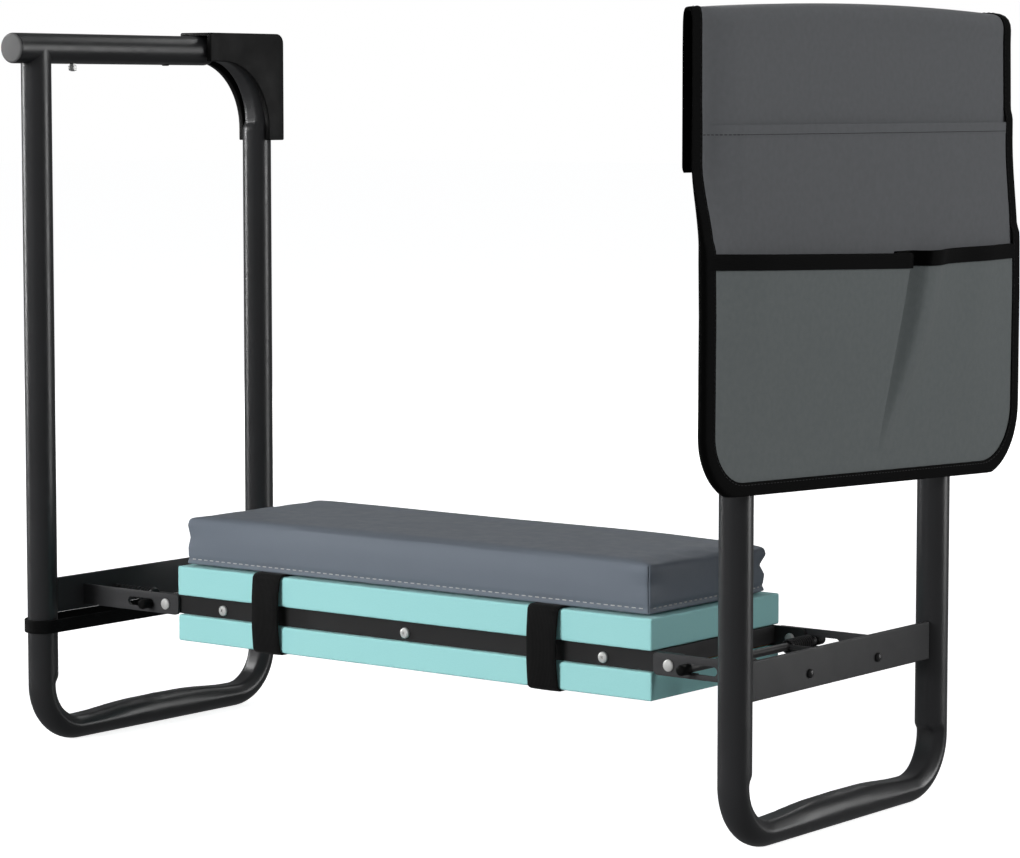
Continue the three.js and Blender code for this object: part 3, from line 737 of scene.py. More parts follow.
def pin_spring(leg, side, z):
    """The coil on the front guide pin. The real one shortens as the lock is pulled; this mesh is
    built at one length.
    """
    lo, hi = corners(f"{leg}_pin_spring")
    start, stop = (lo[0], hi[0]) if side > 0 else (hi[0], lo[0])
    y = (lo[1] + hi[1]) / 2
    shape = coil((start, y, z), side * X, 4.1 * MM, 0.55 * MM, abs(stop - start), 10)
    obj = make(f"{leg}_pin_coil", shape, STEEL, f"{leg}_leg",
               [f"{leg}_pin_spring"])
    tidy_normals(obj)
    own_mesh(obj)


def rod_spring(leg, x, z):
    _, hi = corners(f"{leg}_rod_spring")
    length = 26 * MM
    shape = coil((x, hi[1] - length, z), Y, 4.0 * MM, 0.75 * MM, length, 11)
    obj = make(f"{leg}_rod_coil", shape, STEEL, f"{leg}_lock",
               [f"{leg}_rod_spring"])
    tidy_normals(obj)


# ------------------------------------------------------------------ rails, screws and rivets
def plated_nodes():
    """The rails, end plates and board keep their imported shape, with softened edges."""
    looks = {"front_rail": (STEEL, 0.35), "back_rail": (STEEL, 0.35), "core_board": (BOARD, 0.3),
             "left_end_member": (STEEL, 0.4), "right_end_member": (STEEL, 0.4)}
    for node, (look, width) in looks.items():
        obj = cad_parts[node]
        obj.data.materials.clear()
        obj.data.materials.append(look)
        soften(obj, width * MM, 2, 50)


def rail_screws():
    """Pan heads with a cross recess."""
    for where, sign in SIDES:
        for i in (1, 2, 3):
            node = f"{where}_rail_screw_{i}"
            lo, hi = corners(node)
            x, z = (lo[0] + hi[0]) / 2, (lo[2] + hi[2]) / 2
            face, tail = (hi[1], lo[1]) if sign > 0 else (-lo[1], -hi[1])
            r = (hi[2] - lo[2]) / 2
            seat = face - 1.8 * MM
            head = [(1.5 * MM, tail), (1.6 * MM, seat), (r, seat), (r, seat + 0.8 * MM),
                    (r * 0.96, seat + 1.2 * MM), (r * 0.86, seat + 1.5 * MM),
                    (r * 0.6, face - 0.06 * MM), (r * 0.3, face)]
            obj = make(f"{where}_pan_screw_{i}", turned(head, (x, 0, z), sign * Y, 40), BRIGHT,
                       "platform", [node], 50)
            tidy_normals(obj)
            turn = 0.35 + 1.1 * i + sign
            cross = make("recess", cross_recess(x, sign * face, z, turn), BRIGHT, "platform")
            tidy_normals(cross)
            cut = obj.modifiers.new("recess", "BOOLEAN")
            cut.operation, cut.object, cut.solver = "DIFFERENCE", cross, "EXACT"
            apply_modifiers(obj)
            bpy.data.objects.remove(cross)
            obj.data.shade_smooth()
            obj.data.set_sharp_from_angle(angle=math.radians(38))


def cross_recess(x, y, z, turn):
    long, thin, depth = 1.4 * MM, 0.3 * MM, 0.9 * MM
    outline = [(long, -thin), (long, thin), (thin, thin), (thin, long), (-thin, long),
               (-thin, thin), (-long, thin), (-long, -thin), (-thin, -thin), (-thin, -long),
               (thin, -long), (thin, -thin)]
    c, s = math.cos(turn), math.sin(turn)
    rings = [[(x + scale * (c * a - s * b), y + reach * math.copysign(1, y),
               z + scale * (s * a + c * b)) for a, b in outline]
             for reach, scale in ((-depth, 0.55), (depth, 1.1))]
    return loft(rings)


def pivot_rivets():
    for leg, _ in LEGS:
        for where, sign in SIDES:
            node = f"{leg}_{where}_pivot_rivet"
            lo, hi = corners(node)
            x, z = (lo[0] + hi[0]) / 2, (lo[2] + hi[2]) / 2
            face, tail = (hi[1], lo[1]) if sign > 0 else (-lo[1], -hi[1])
            r = (hi[2] - lo[2]) / 2
            seat = face - 1.6 * MM
            dome = [(r * math.cos(a), seat + 0.35 * MM + (face - seat - 0.35 * MM) * math.sin(a))
                    for a in np.linspace(0, 1.5, 9)]
            profile = [(2.2 * MM, tail), (2.9 * MM, tail + 0.15 * MM), (3.4 * MM, tail + 0.6 * MM),
                       (3.5 * MM, tail + 1.4 * MM), (2.8 * MM, tail + 1.45 * MM), (2.8 * MM, seat),
                       (r, seat)] + dome
            make(f"{leg}_{where}_rivet", turned(profile, (x, 0, z), sign * Y, 40), BRIGHT,
                 "platform", [node], 50)


# ------------------------------------------------------------------ foam pads and their straps
STRAPS = [corners(f"{leg}_pad_strap") for leg, _ in LEGS]


def near_strap(x, fade=5 * MM):
    """1 under an elastic strap, falling to 0 beside it."""
    share = np.zeros_like(x)
    for lo, hi in STRAPS:
        middle, half = (lo[0] + hi[0]) / 2, (hi[0] - lo[0]) / 2
        share = np.maximum(share, 1 - smooth((np.abs(x - middle) - half + MM) / fade))
    return share


def foam_pad(name, node):
    lo, hi = corners(node)
    near = [0, 0.45 * MM, 0.9 * MM, 1.4 * MM, 2.2 * MM, 3.4 * MM, 5 * MM]
    xs = edge_dense(lo[0], hi[0], near, 4.5 * MM)
    ys = edge_dense(lo[1], hi[1], near, 9 * MM)
    zs = edge_dense(lo[2], hi[2], near[:6], 4.5 * MM)
    points, faces, _ = box_shell(xs, ys, zs)
    pressed = near_strap(points[:, 0])
    points = round_box(points, lo, hi, 1.2 * MM + 1.6 * MM * pressed)
    middle = (lo + hi) / 2
    away = (points - middle) / (hi - middle)
    swell = 0.25 * MM * np.sin(points[:, 0] * 31 + middle[2] * 90) * np.abs(away[:, 1]) ** 8
    points[:, 1] -= np.sign(away[:, 1]) * (0.3 * MM + swell) * (np.abs(away[:, 1]) > 0.98)
    obj = make(name, (points, faces), FOAM, "platform", [node], 60)


def strip_rings(centre, across, normal, width, thickness, curl=0.0):
    """Rings of a flat band with rounded edges round its centre line."""
    u = np.array([-1, -0.98, -0.9, -0.6, -0.3, 0, 0.3, 0.6, 0.9, 0.98])
    top = [(a, 1 - 0.5 * (abs(a) > 0.95)) for a in u[1:]]
    section = np.array([(-1, 0)] + top + [(1, 0)] + [(a, -h) for a, h in top[::-1]])
    flat = section[:, 0] * width / 2
    lift = section[:, 1] * thickness / 2 + curl * section[:, 0] ** 2
    return (centre[:, None] + flat[None, :, None] * across[:, None]
            + lift[None, :, None] * normal[:, None])


def pad_strap(leg):
    lo, hi = corners(f"{leg}_pad_strap")
    node_middle, width = (lo[0] + hi[0]) / 2, hi[0] - lo[0]
    thick = 1.3 * MM
    clear = 0.35 * MM + thick / 2
    side = PAD_HI[1] + clear
    low, high = LOWER_LO[2] - clear, PAD_HI[2] + clear
    path = rounded([(-side, low), (side, low), (side, high), (-side, high)], 3.2 * MM, 8)
    dense = []
    for i, here in enumerate(path):
        after = path[(i + 1) % len(path)]
        steps = max(1, int(np.linalg.norm(after - here) / (2 * MM)))
        dense += [here + (after - here) * k / steps for k in range(steps)]
    path = np.array(dense)
    middle_z, half_z = (low + high) / 2, (high - low) / 2
    along = np.clip((path[:, 1] - middle_z) / half_z, -1, 1)
    on_side = np.abs(path[:, 0]) > side - 3.3 * MM
    path[:, 0] += np.sign(path[:, 0]) * on_side * 2.4 * MM * (1 - along ** 2)
    tangent = np.roll(path, -1, 0) - np.roll(path, 1, 0)
    tangent /= np.linalg.norm(tangent, axis=1, keepdims=True)
    centre = np.stack([np.full(len(path), node_middle), path[:, 0], path[:, 1]], 1)
    normal = np.stack([np.zeros(len(path)), tangent[:, 1], -tangent[:, 0]], 1)
    across = np.tile(X, (len(path), 1))
    narrow = 1 - 0.05 * (1 - along ** 2) * on_side
    rings = strip_rings(centre, across * narrow[:, None], normal, width, thick, -0.25 * MM)
    obj = make(f"{leg}_elastic_band", loft(rings, closed=True), ELASTIC, "platform",
               [f"{leg}_pad_strap"], 50)
    tidy_normals(obj)


def storage_strap():
    lo, hi = corners("storage_strap")
    x, tall = leg_plane("left"), hi[2] - lo[2]
    thick = 1.4 * MM
    r = TUBE_R + 1.5 * MM
    path = []
    for sign, turn in ((1, 0), (-1, math.pi)):
        path += [(r * math.cos(a + turn), sign * UPRIGHT_Y + r * math.sin(a + turn))
                 for a in np.linspace(0, math.pi, 25)]
        path += [(-sign * r, y) for y in np.linspace(UPRIGHT_Y, -UPRIGHT_Y, 24)[1:-1] * sign]
    path = np.array(path)
    tangent = np.roll(path, -1, 0) - np.roll(path, 1, 0)
    tangent /= np.linalg.norm(tangent, axis=1, keepdims=True)
    z = (lo[2] + hi[2]) / 2
    centre = np.stack([x + path[:, 0], path[:, 1], np.full(len(path), z)], 1)
    normal = np.stack([tangent[:, 1], -tangent[:, 0], np.zeros(len(path))], 1)
    rings = strip_rings(centre, np.tile(Z, (len(path), 1)), normal, tall, thick)
    obj = make("storage_loop", loft(rings, closed=True), LOOP_ELASTIC, "left_leg",
               ["storage_strap"], 50)
    tidy_normals(obj)


# ------------------------------------------------------------------ seat cushion
HEM = 3.4 * MM


def puff(obj, pinned, pressure, cap):
    """Blows the cover up with a cloth simulation; no point ends further off than the cap."""
    scene = bpy.context.scene
    group = obj.vertex_groups.new(name="pinned")
    for i, weight in enumerate(pinned):
        if weight > 0:
            group.add([i], float(weight), "REPLACE")
    start = np.array([v.co for v in obj.data.vertices])
    cloth = obj.modifiers.new("cover", "CLOTH")
    cloth.settings.vertex_group_mass = "pinned"
    cloth.settings.quality = 6
    cloth.settings.mass = 0.25
    cloth.settings.tension_stiffness = cloth.settings.compression_stiffness = 18
    cloth.settings.shear_stiffness, cloth.settings.bending_stiffness = 8, 0.8
    cloth.settings.use_pressure = True
    cloth.settings.uniform_pressure_force = pressure
    cloth.settings.effector_weights.gravity = 0
    cloth.collision_settings.use_collision = False
    cloth.point_cache.frame_start, cloth.point_cache.frame_end = 1, 20
    for step in range(1, 21):
        scene.frame_set(step)
    deps = bpy.context.evaluated_depsgraph_get()
    baked = bpy.data.meshes.new_from_object(obj.evaluated_get(deps))
    end = np.array([v.co for v in baked.vertices])
    scene.frame_set(1)
    obj.modifiers.clear()
    move = end - start
    size = np.maximum(np.linalg.norm(move, axis=1, keepdims=True), 1e-9)
    end = start + move * np.minimum(1, cap / size)
    obj.data.vertices.foreach_set("co", end.ravel())
    obj.data.update()


def cushion():
    lo, hi = CUSHION_LO, CUSHION_HI
    step = 5 * MM
    start_lo, start_hi = lo - [0.8 * MM, 0.8 * MM, 0], hi + [0.8 * MM, 0.8 * MM, -0.4 * MM]
    near = [0, 1.3 * MM, 3 * MM, 6 * MM]
    xs = edge_dense(start_lo[0], start_hi[0], near, step)
    ys = edge_dense(start_lo[1], start_hi[1], near, step)
    zs = np.concatenate([[lo[2], lo[2] + HEM], np.linspace(lo[2] + HEM + 4 * MM,
                                                           start_hi[2] - 4 * MM, 5),
                         start_hi[2] - np.array([1.6 * MM, 0])])
    points, faces, keys = box_shell(xs, ys, zs)
    on_corner = (np.isin(keys[:, 0], (0, len(xs) - 1)) & np.isin(keys[:, 1], (0, len(ys) - 1)))
    on_hem = (keys[:, 2] == 1).astype(float)
    low = keys[:, 2] <= 1
    body_of_cover = ~low
    points[body_of_cover] = round_box(points, start_lo, start_hi, 4.5 * MM)[body_of_cover]
    flat = points[low]
    r = 2 * MM
    core = np.clip(flat[:, :2], start_lo[:2] + r, start_hi[:2] - r)
    away = flat[:, :2] - core
    size = np.maximum(np.linalg.norm(away, axis=1, keepdims=True), 1e-9)
    flat[:, :2] = core + away / size * np.minimum(r, size)
    points[low] = flat
    obj = make("seat_cushion_cover", (points, faces), VINYL, "platform",
               ["seat_cushion"], 75)
    obj.parent = None
    pinned = np.where(low, 1.0, np.where(on_corner, 0.25, 0.0))
    puff(obj, pinned, 0.6, 1.2 * MM)
    for name, weights in (("seam", on_corner.astype(float)), ("hem", on_hem)):
        group = obj.vertex_groups.new(name=name)
        for i in np.nonzero(weights)[0]:
            group.add([int(i)], 1.0, "REPLACE")
    finer = obj.modifiers.new("finer", "SUBSURF")
    finer.levels = finer.render_levels = 2
    apply_modifiers(obj)
    shape_cushion(obj)
    settle(obj, VINYL, "platform", (), 75)
    hem_stitches(obj)


def group_weights(obj, name):
    index = obj.vertex_groups[name].index
    weights = np.zeros(len(obj.data.vertices))
    for v in obj.data.vertices:
        for g in v.groups:
            if g.group == index:
                weights[v.index] = g.weight
    return weights


def shape_cushion(obj):
    """The sewn corners, the hem groove and the soft waves that the simulation leaves out."""
    co = np.array([v.co for v in obj.data.vertices])
    normal = np.array([v.normal for v in obj.data.vertices])
    seam, hem = group_weights(obj, "seam"), group_weights(obj, "hem")
    lo, hi = CUSHION_LO, CUSHION_HI
    middle, half = (lo + hi) / 2, (hi - lo) / 2
    rel = (co - middle) / half
    height = (co[:, 2] - lo[2]) / (hi[2] - lo[2])
    lateral = np.abs(normal[:, 2]) < 0.8
    gap = np.minimum(half[0] - np.abs(co[:, 0] - middle[0]), half[1] - np.abs(co[:, 1] - middle[1]))
    corner = np.exp(-((half[0] - np.abs(co[:, 0] - middle[0])) ** 2
                      + (half[1] - np.abs(co[:, 1] - middle[1])) ** 2) / (11 * MM) ** 2)
    diagonal = np.stack([np.sign(rel[:, 0]), np.sign(rel[:, 1])], 1) / math.sqrt(2)
    waist = np.interp(height, [0, 0.12, 0.34, 0.56, 0.8, 0.93, 1],
                      [0, -0.2, 0.5, -0.9, 0.9, 0.6, 0]) * MM
    loose = ((rel[:, 0] > 0) & (rel[:, 1] > 0)).astype(float)
    co[:, :2] += diagonal * ((waist * (1 + 1.3 * loose) - 3.2 * MM * loose) * corner)[:, None]
    slump = np.exp(-((half[0] - np.abs(co[:, 0] - middle[0])) / (70 * MM)) ** 2) * smooth(rel[:, 1])
    co[:, 2] -= 2.4 * MM * slump * (rel[:, 0] > 0) * smooth((height - 0.2) / 0.8)
    ripple = (np.sin(co[:, 0] * 39 + 1.3) * np.sin(height * 5.2 + co[:, 0] * 11)
              + 0.5 * np.sin(co[:, 0] * 83 + height * 3))
    amount = 0.15 * MM * ripple * lateral * smooth((height - 0.1) / 0.25) * (gap < 3 * MM)
    co += normal * amount[:, None]
    co -= normal * (0.7 * MM * np.clip(seam * 1.15, 0, 1) ** 3 * (height < 0.93))[:, None]
    co -= normal * (0.7 * MM * np.clip(hem * 1.2, 0, 1) ** 3 * lateral)[:, None]
    co[:, 2] = np.maximum(co[:, 2], lo[2])
    obj.data.vertices.foreach_set("co", co.ravel())
    obj.data.update()


def stitch(centre, along, out, length, radius):
    """One stitch: a thread that rises from the cloth, runs and dips back in."""
    along = along / np.linalg.norm(along)
    out = out - along * (out @ along)
    out /= np.linalg.norm(out)
    side = np.cross(along, out)
    ring = np.arange(6) * 2 * math.pi / 6
    rings = []
    for t, lift, fat in ((-0.5, -0.9, 0.5), (-0.42, -0.1, 0.9), (-0.2, 0.25, 1), (0.2, 0.25, 1),
                         (0.42, -0.1, 0.9), (0.5, -0.9, 0.5)):
        middle = centre + along * (t * length) + out * (lift * radius)
        rings.append(middle + fat * radius * (np.cos(ring)[:, None] * out
                                              + np.sin(ring)[:, None] * side))
    return loft(rings)


def hem_stitches(cover):
    """A pale dashed line round the cushion, just above its lower edge."""
    bpy.context.view_layer.update()
    tree = BVHTree.FromPolygons([v.co for v in cover.data.vertices],
                                [tuple(p.vertices) for p in cover.data.polygons])
    lo, hi = CUSHION_LO, CUSHION_HI
    z = lo[2] + HEM
    inset, pitch, length = 6 * MM, 5.3 * MM, 3.4 * MM
    stitches = []
    for axis, sign in ((1, -1), (0, 1), (1, 1), (0, -1)):
        other = 1 - axis
        a, b = lo[other] + inset, hi[other] - inset
        count = int((b - a) / pitch)
        for i in range(count + 1):
            origin = np.zeros(3)
            origin[other] = a + (b - a) * i / count
            origin[axis] = (hi[axis] if sign > 0 else lo[axis]) + sign * 20 * MM
            origin[2] = z
            heading = np.zeros(3)
            heading[axis] = -sign
            hit, normal, _, _ = tree.ray_cast(Vector(origin), Vector(heading), 40 * MM)
            if hit is None:
                continue
            along = np.zeros(3)
            along[other] = 1
            outward = np.zeros(3)
            outward[axis] = sign
            stitches.append(stitch(np.array(hit), along, outward, length, 0.36 * MM))
    make("cushion_stitching", join_shapes(stitches), THREAD, "platform")


# ------------------------------------------------------------------ tool bag
# The cloth is laid out flat: y runs across it, s runs down it from the lower edge of the inner
# flap, over the handle, to the lower edge of the outer panel. n is the height above the cloth.
BAG_HALF = (BAG_HI[1] - BAG_LO[1]) / 2
BAG_CLOTH = 1.6 * MM
POCKET_CLOTH = 1.1 * MM
FLAP_LOW = 403.5 * MM
FREE_END_Y = HANDLE_END_Y - 4 * MM
CROWN = 3.6 * MM
LEFT_R = 37 * MM
RIGHT_R = 44 * MM
TAPE = 8 * MM
HEM_BAND = 6.8 * MM


def fold_line():
    """The cloth's middle line in (x, z), as points at even steps, with its outward normals."""
    depth = corners("bag_panel")[1][0] - BAG_PLANE - BAG_CLOTH / 2
    top, bottom = BAG_HI[2] - BAG_CLOTH / 2, BAG_LO[2]
    path = rounded([(-depth, FLAP_LOW), (-depth, top), (depth, top), (depth, bottom)],
                   [0, 7 * MM, 8 * MM, 0], 12)
    lengths = np.concatenate([[0], np.cumsum(np.linalg.norm(np.diff(path, axis=0), axis=1))])
    s = np.linspace(0, lengths[-1], 900)
    x, z = np.interp(s, lengths, path[:, 0]), np.interp(s, lengths, path[:, 1])
    kernel = np.ones(15) / 15
    x = np.convolve(np.pad(x, 7, mode="edge"), kernel, "valid")
    z = np.convolve(np.pad(z, 7, mode="reflect", reflect_type="odd"), kernel, "valid")
    dx, dz = np.gradient(x, s), np.gradient(z, s)
    size = np.hypot(dx, dz)
    return s, x, z, -dz / size, dx / size


FOLD_S, FOLD_PX, FOLD_PZ, FOLD_NX, FOLD_NZ = fold_line()
BAG_LENGTH = FOLD_S[-1]
FLAP_END_S = FOLD_S[np.argmax(FOLD_PX > -10 * MM)]
OVER_S = FOLD_S[np.argmax(FOLD_PX > 10 * MM)]


def down_to(z):
    """Distance down the cloth to a height on the outer panel."""
    return BAG_LENGTH - (z - BAG_LO[2])


def bag_point(y, s, n):
    """Where a point of the flat cloth, n above it, comes to in the frame."""
    y, s, n = np.broadcast_arrays(np.asarray(y, float), np.asarray(s, float),
                                  np.asarray(n, float))
    x = np.interp(s, FOLD_S, FOLD_PX)
    z = np.interp(s, FOLD_S, FOLD_PZ)
    nx, nz = np.interp(s, FOLD_S, FOLD_NX), np.interp(s, FOLD_S, FOLD_NZ)
    outside = smooth((s - OVER_S) / (20 * MM))
    low = smooth((s - down_to(420 * MM)) / (70 * MM))
    wide = 1 + 0.029 * low
    hang = np.interp(z, [200 * MM, 320 * MM, 432 * MM, 480 * MM], [1.6, 2.2, 0.6, -0.6]) * MM
    sway = 0.7 * MM * np.sin(y * 21 + 0.6) * np.sin((z - 0.2) * 13) * outside
    inside = smooth((FLAP_END_S - s) / (30 * MM)) * (1.3 + 0.5 * np.sin(y * 27 + z * 9)) * MM
    free = smooth((FREE_END_Y - y) / (28 * MM)) * np.where(
        s < OVER_S, 1, smooth((z - 358 * MM) / (54 * MM)))
    rise = CROWN * (1 - ((y - 25 * MM) / (150 * MM)) ** 2) + 0.4 * MM * free
    rise = rise * smooth((z - 440 * MM) / (50 * MM))
    rise = rise + (4 * MM - 0.0365 * y) * smooth((357 * MM - z) / (145 * MM))
    shift = n * (1 - 0.25 * free) + sway + inside
    x = (x + nx * shift + hang * outside) * (1 - 0.8 * free) + 6.75 * MM * free
    return np.stack([BAG_PLANE + x, y * wide + 2 * MM * low, z + nz * shift + rise], -1)


def side_at(s, r_top, r_low, s0, s1):
    """How far from the middle a side of the panel lies, at a distance down it."""
    top = r_top - np.sqrt(np.maximum(r_top ** 2 - np.clip(r_top - (s - s0), 0, r_top) ** 2, 0))
    low = r_low - np.sqrt(np.maximum(r_low ** 2 - np.clip(r_low - (s1 - s), 0, r_low) ** 2, 0))
    return BAG_HALF - top - low


def left_side(s, inset=0.0):
    return inset - side_at(s, 4 * MM, LEFT_R, 0, BAG_LENGTH)


def right_side(s, inset=0.0):
    return side_at(s, 4 * MM, RIGHT_R, 0, BAG_LENGTH) - inset


def cloth(name, rows, left, right, height, thickness, look, columns=70):
    """A sheet between two side lines, as a closed thin solid. height is n at (y, s)."""
    u = np.linspace(0, 1, columns)
    s = np.repeat(rows[:, None], columns, 1)
    y = left(rows)[:, None] + (right(rows) - left(rows))[:, None] * u[None]
    middle = height(y, s)
    front = bag_point(y, s, middle + thickness / 2)
    back = bag_point(y, s, middle - thickness / 2)
    points = np.concatenate([front.reshape(-1, 3), back.reshape(-1, 3)])
    faces = cloth_faces(*s.shape)
    obj = make(name, (points, faces), look, "tool_bag", (), 50)
    tidy_normals(obj)
    return obj


def rows_between(s0, s1, fine=(), step=5 * MM):
    rows = np.linspace(s0, s1, max(3, int((s1 - s0) / step)))
    return np.unique(np.concatenate([rows, *[np.asarray(f) for f in fine]]))


UPPER_MOUTH = 430.5 * MM
LEFT_MOUTH = (356.5 * MM, 350 * MM)
RIGHT_MOUTH = (351.5 * MM, 351.5 * MM)
DIVIDE_TOP = 33 * MM
DIVIDE_LOW = 5 * MM
CREASE_END = 224 * MM
EDGE_FINE = [RIGHT_R * (1 - math.cos(a)) for a in np.linspace(0, math.pi / 2, 14)]


def panel_height(y, s):
    return np.zeros(np.broadcast(y, s).shape)


def upper_height(y, s):
    open_up = smooth((s - down_to(215 * MM)) / (down_to(UPPER_MOUTH) - down_to(215 * MM)))
    across = 1 - np.abs(y / BAG_HALF) ** 3
    base = BAG_CLOTH / 2 + POCKET_CLOTH / 2 + 0.1 * MM
    return base + 3.6 * MM * open_up * across


def fill_up(s, low, mouth):
    """0 at a pocket's foot and 1 at its mouth."""
    return np.clip((down_to(low) - s) / (down_to(low) - down_to(mouth)), 0, 1)


def divide_at(s):
    """Where the seam between the lower pockets lies across the cloth."""
    v = np.clip((down_to(CREASE_END) - s) / (down_to(CREASE_END) - down_to(352 * MM)), -0.2, 1)
    return DIVIDE_LOW + (DIVIDE_TOP - DIVIDE_LOW) * v


def under_lower(y, s):
    """The least height of the lower pockets, which lie over the upper one."""
    return upper_height(y, s) + POCKET_CLOTH + 0.3 * MM


def left_height(y, s):
    v = fill_up(s, 212 * MM, 356 * MM)
    edge, seam = -BAG_HALF, divide_at(s)
    u = np.clip((y - edge) / np.maximum(seam - edge, MM), 0, 1)
    rise = smooth(u / 0.3) * (0.9 + 0.1 * smooth((1 - u) / 0.35))
    lip = smooth((seam - y) / (2 * MM)) * 0.15 + 0.85
    bulge = 1.4 * MM * smooth(v * 1.5) * (1 - np.abs(2 * u - 1) ** 2.5)
    return under_lower(y, s) + bulge + 4.6 * MM * v ** 0.9 * rise * lip


def right_height(y, s):
    v = smooth(fill_up(s, CREASE_END, 354 * MM) * 1.3) ** 0.7
    low = fill_up(s, 212 * MM, 354 * MM)
    seam = divide_at(s)
    d = y - seam - 2 * MM * v
    toward = smooth((BAG_HALF - y) / (70 * MM))
    out = smooth(d / (2 * MM + 7 * MM * v))
    ridge = np.exp(-((d - 12 * MM * v - 4 * MM) / (6 * MM + 9 * MM * v)) ** 2)
    dip = np.exp(-((d - 56 * MM * v - 8 * MM) / (9 * MM + 14 * MM * v)) ** 2)
    plain = (1.4 * MM * smooth(low * 1.5) + 4.6 * MM * low ** 0.9) * toward
    return under_lower(y, s) + (plain + v * toward * (6.5 * MM * ridge - 3 * MM * dip)) * out


def slanted(mouth, y0, y1):
    """A pocket's mouth line as a distance down the cloth that changes across it."""
    def at(y):
        t = np.clip((np.asarray(y) - y0) / (y1 - y0), 0, 1)
        return down_to(mouth[0] + (mouth[1] - mouth[0]) * t)
    return at


def pocket(name, look, mouth, left, right, height, replaces, hem=0.0):
    """A pocket cloth from its mouth line down to the lower edge of the panel."""
    top = float(np.min(mouth(np.array([-BAG_HALF, BAG_HALF]))))
    end = BAG_LENGTH - 0.8 * MM
    t = np.unique(np.concatenate([np.linspace(0, 1, 46), 1 - np.array(EDGE_FINE) / (end - top),
                                  (HEM_BAND + np.linspace(-0.8, 0.8, 5) * MM) / (end - top)]))
    columns = 90
    u = np.linspace(0, 1, columns)
    rows = top + (end - top) * t
    y = left(rows)[:, None] + (right(rows) - left(rows))[:, None] * u[None]
    start = mouth(y)
    s = start + (end - start) * t[:, None]
    middle = height(y, s)
    half = POCKET_CLOTH / 2
    band = hem * (1 - smooth((s - start - HEM_BAND + 0.5 * MM) / MM)) * smooth(
        (y + BAG_HALF - 4 * MM) / (5 * MM))
    points = np.concatenate([bag_point(y, s, middle + half + band).reshape(-1, 3),
                             bag_point(y, s, middle - half).reshape(-1, 3)])
    obj = make(name, (points, cloth_faces(len(t), columns)), look, "tool_bag",
               replaces, 50)
    tidy_normals(obj)
    return obj


def cloth_faces(m, k):
    faces = []
    for i in range(m - 1):
        for j in range(k - 1):
            a = i * k + j
            faces.append((a, a + k, a + k + 1, a + 1))
            faces.append((m * k + a, m * k + a + 1, m * k + a + k + 1, m * k + a + k))
    rim = (list(range(k)) + [i * k + k - 1 for i in range(1, m)]
           + [(m - 1) * k + j for j in range(k - 2, -1, -1)] + [i * k for i in range(m - 2, 0, -1)])
    return faces + [(a, b, m * k + b, m * k + a) for a, b in zip(rim, rim[1:] + rim[:1])]


def panel_outline(step=3 * MM):
    """The panel's edge laid flat, as (y, s) points with inward directions."""
    corner = rounded([(-BAG_HALF, 0), (BAG_HALF, 0), (BAG_HALF, BAG_LENGTH),
                      (-BAG_HALF, BAG_LENGTH)], [4 * MM, 4 * MM, RIGHT_R, LEFT_R], 14)
    dense = []
    for i, here in enumerate(corner):
        after = corner[(i + 1) % len(corner)]
        steps = max(1, round(np.linalg.norm(after - here) / step))
        dense += [here + (after - here) * k / steps for k in range(steps)]
    path = np.array(dense)
    tangent = np.roll(path, -1, 0) - np.roll(path, 1, 0)
    tangent /= np.linalg.norm(tangent, axis=1, keepdims=True)
    inward = np.stack([-tangent[:, 1], tangent[:, 0]], 1)
    return path, inward


def layers_at(y, s):
    """How far the cloth layers under the binding reach above the panel's middle."""
    outside = smooth((s - down_to(UPPER_MOUTH) + 9 * MM) / (7 * MM)) * (POCKET_CLOTH + 0.2 * MM)
    low = smooth((s - down_to(357 * MM) + 9 * MM) / (7 * MM)) * (POCKET_CLOTH + 0.4 * MM)
    return BAG_CLOTH / 2 + outside + low


def tape_rings(path, inward, front, back, reach, thick=0.8 * MM, closed=True):
    """A tape folded over an edge: front and back are the heights of its inner faces."""
    rings = []
    for (y, s), (iy, js), f, b in zip(path, inward, front, back):
        middle = (f + b) / 2
        out, inn = (f - b) / 2 + thick, (f - b) / 2
        outer = [(reach, out), (reach * 0.6, out + 0.15 * MM), (reach * 0.25, out + 0.1 * MM),
                 (0, out)]
        turn = [(-out * math.sin(a), out * math.cos(a)) for a in np.linspace(0.3, 2.84, 7)]
        under = [(0, -out), (reach * 0.25, -out), (reach * 0.6, -out), (reach, -out)]
        inner = [(reach, -inn), (0, -inn)]
        turn_in = [(-inn * math.sin(a), inn * math.cos(a)) for a in np.linspace(2.7, 0.44, 4)]
        close = [(0, inn), (reach, inn)]
        ring = outer + turn + under + inner + turn_in + close
        sy = np.array([y + iy * i for i, _ in ring])
        ss = np.array([s + js * i for i, _ in ring])
        sn = np.array([middle + h for _, h in ring])
        rings.append(bag_point(sy, ss, sn))
    return rings


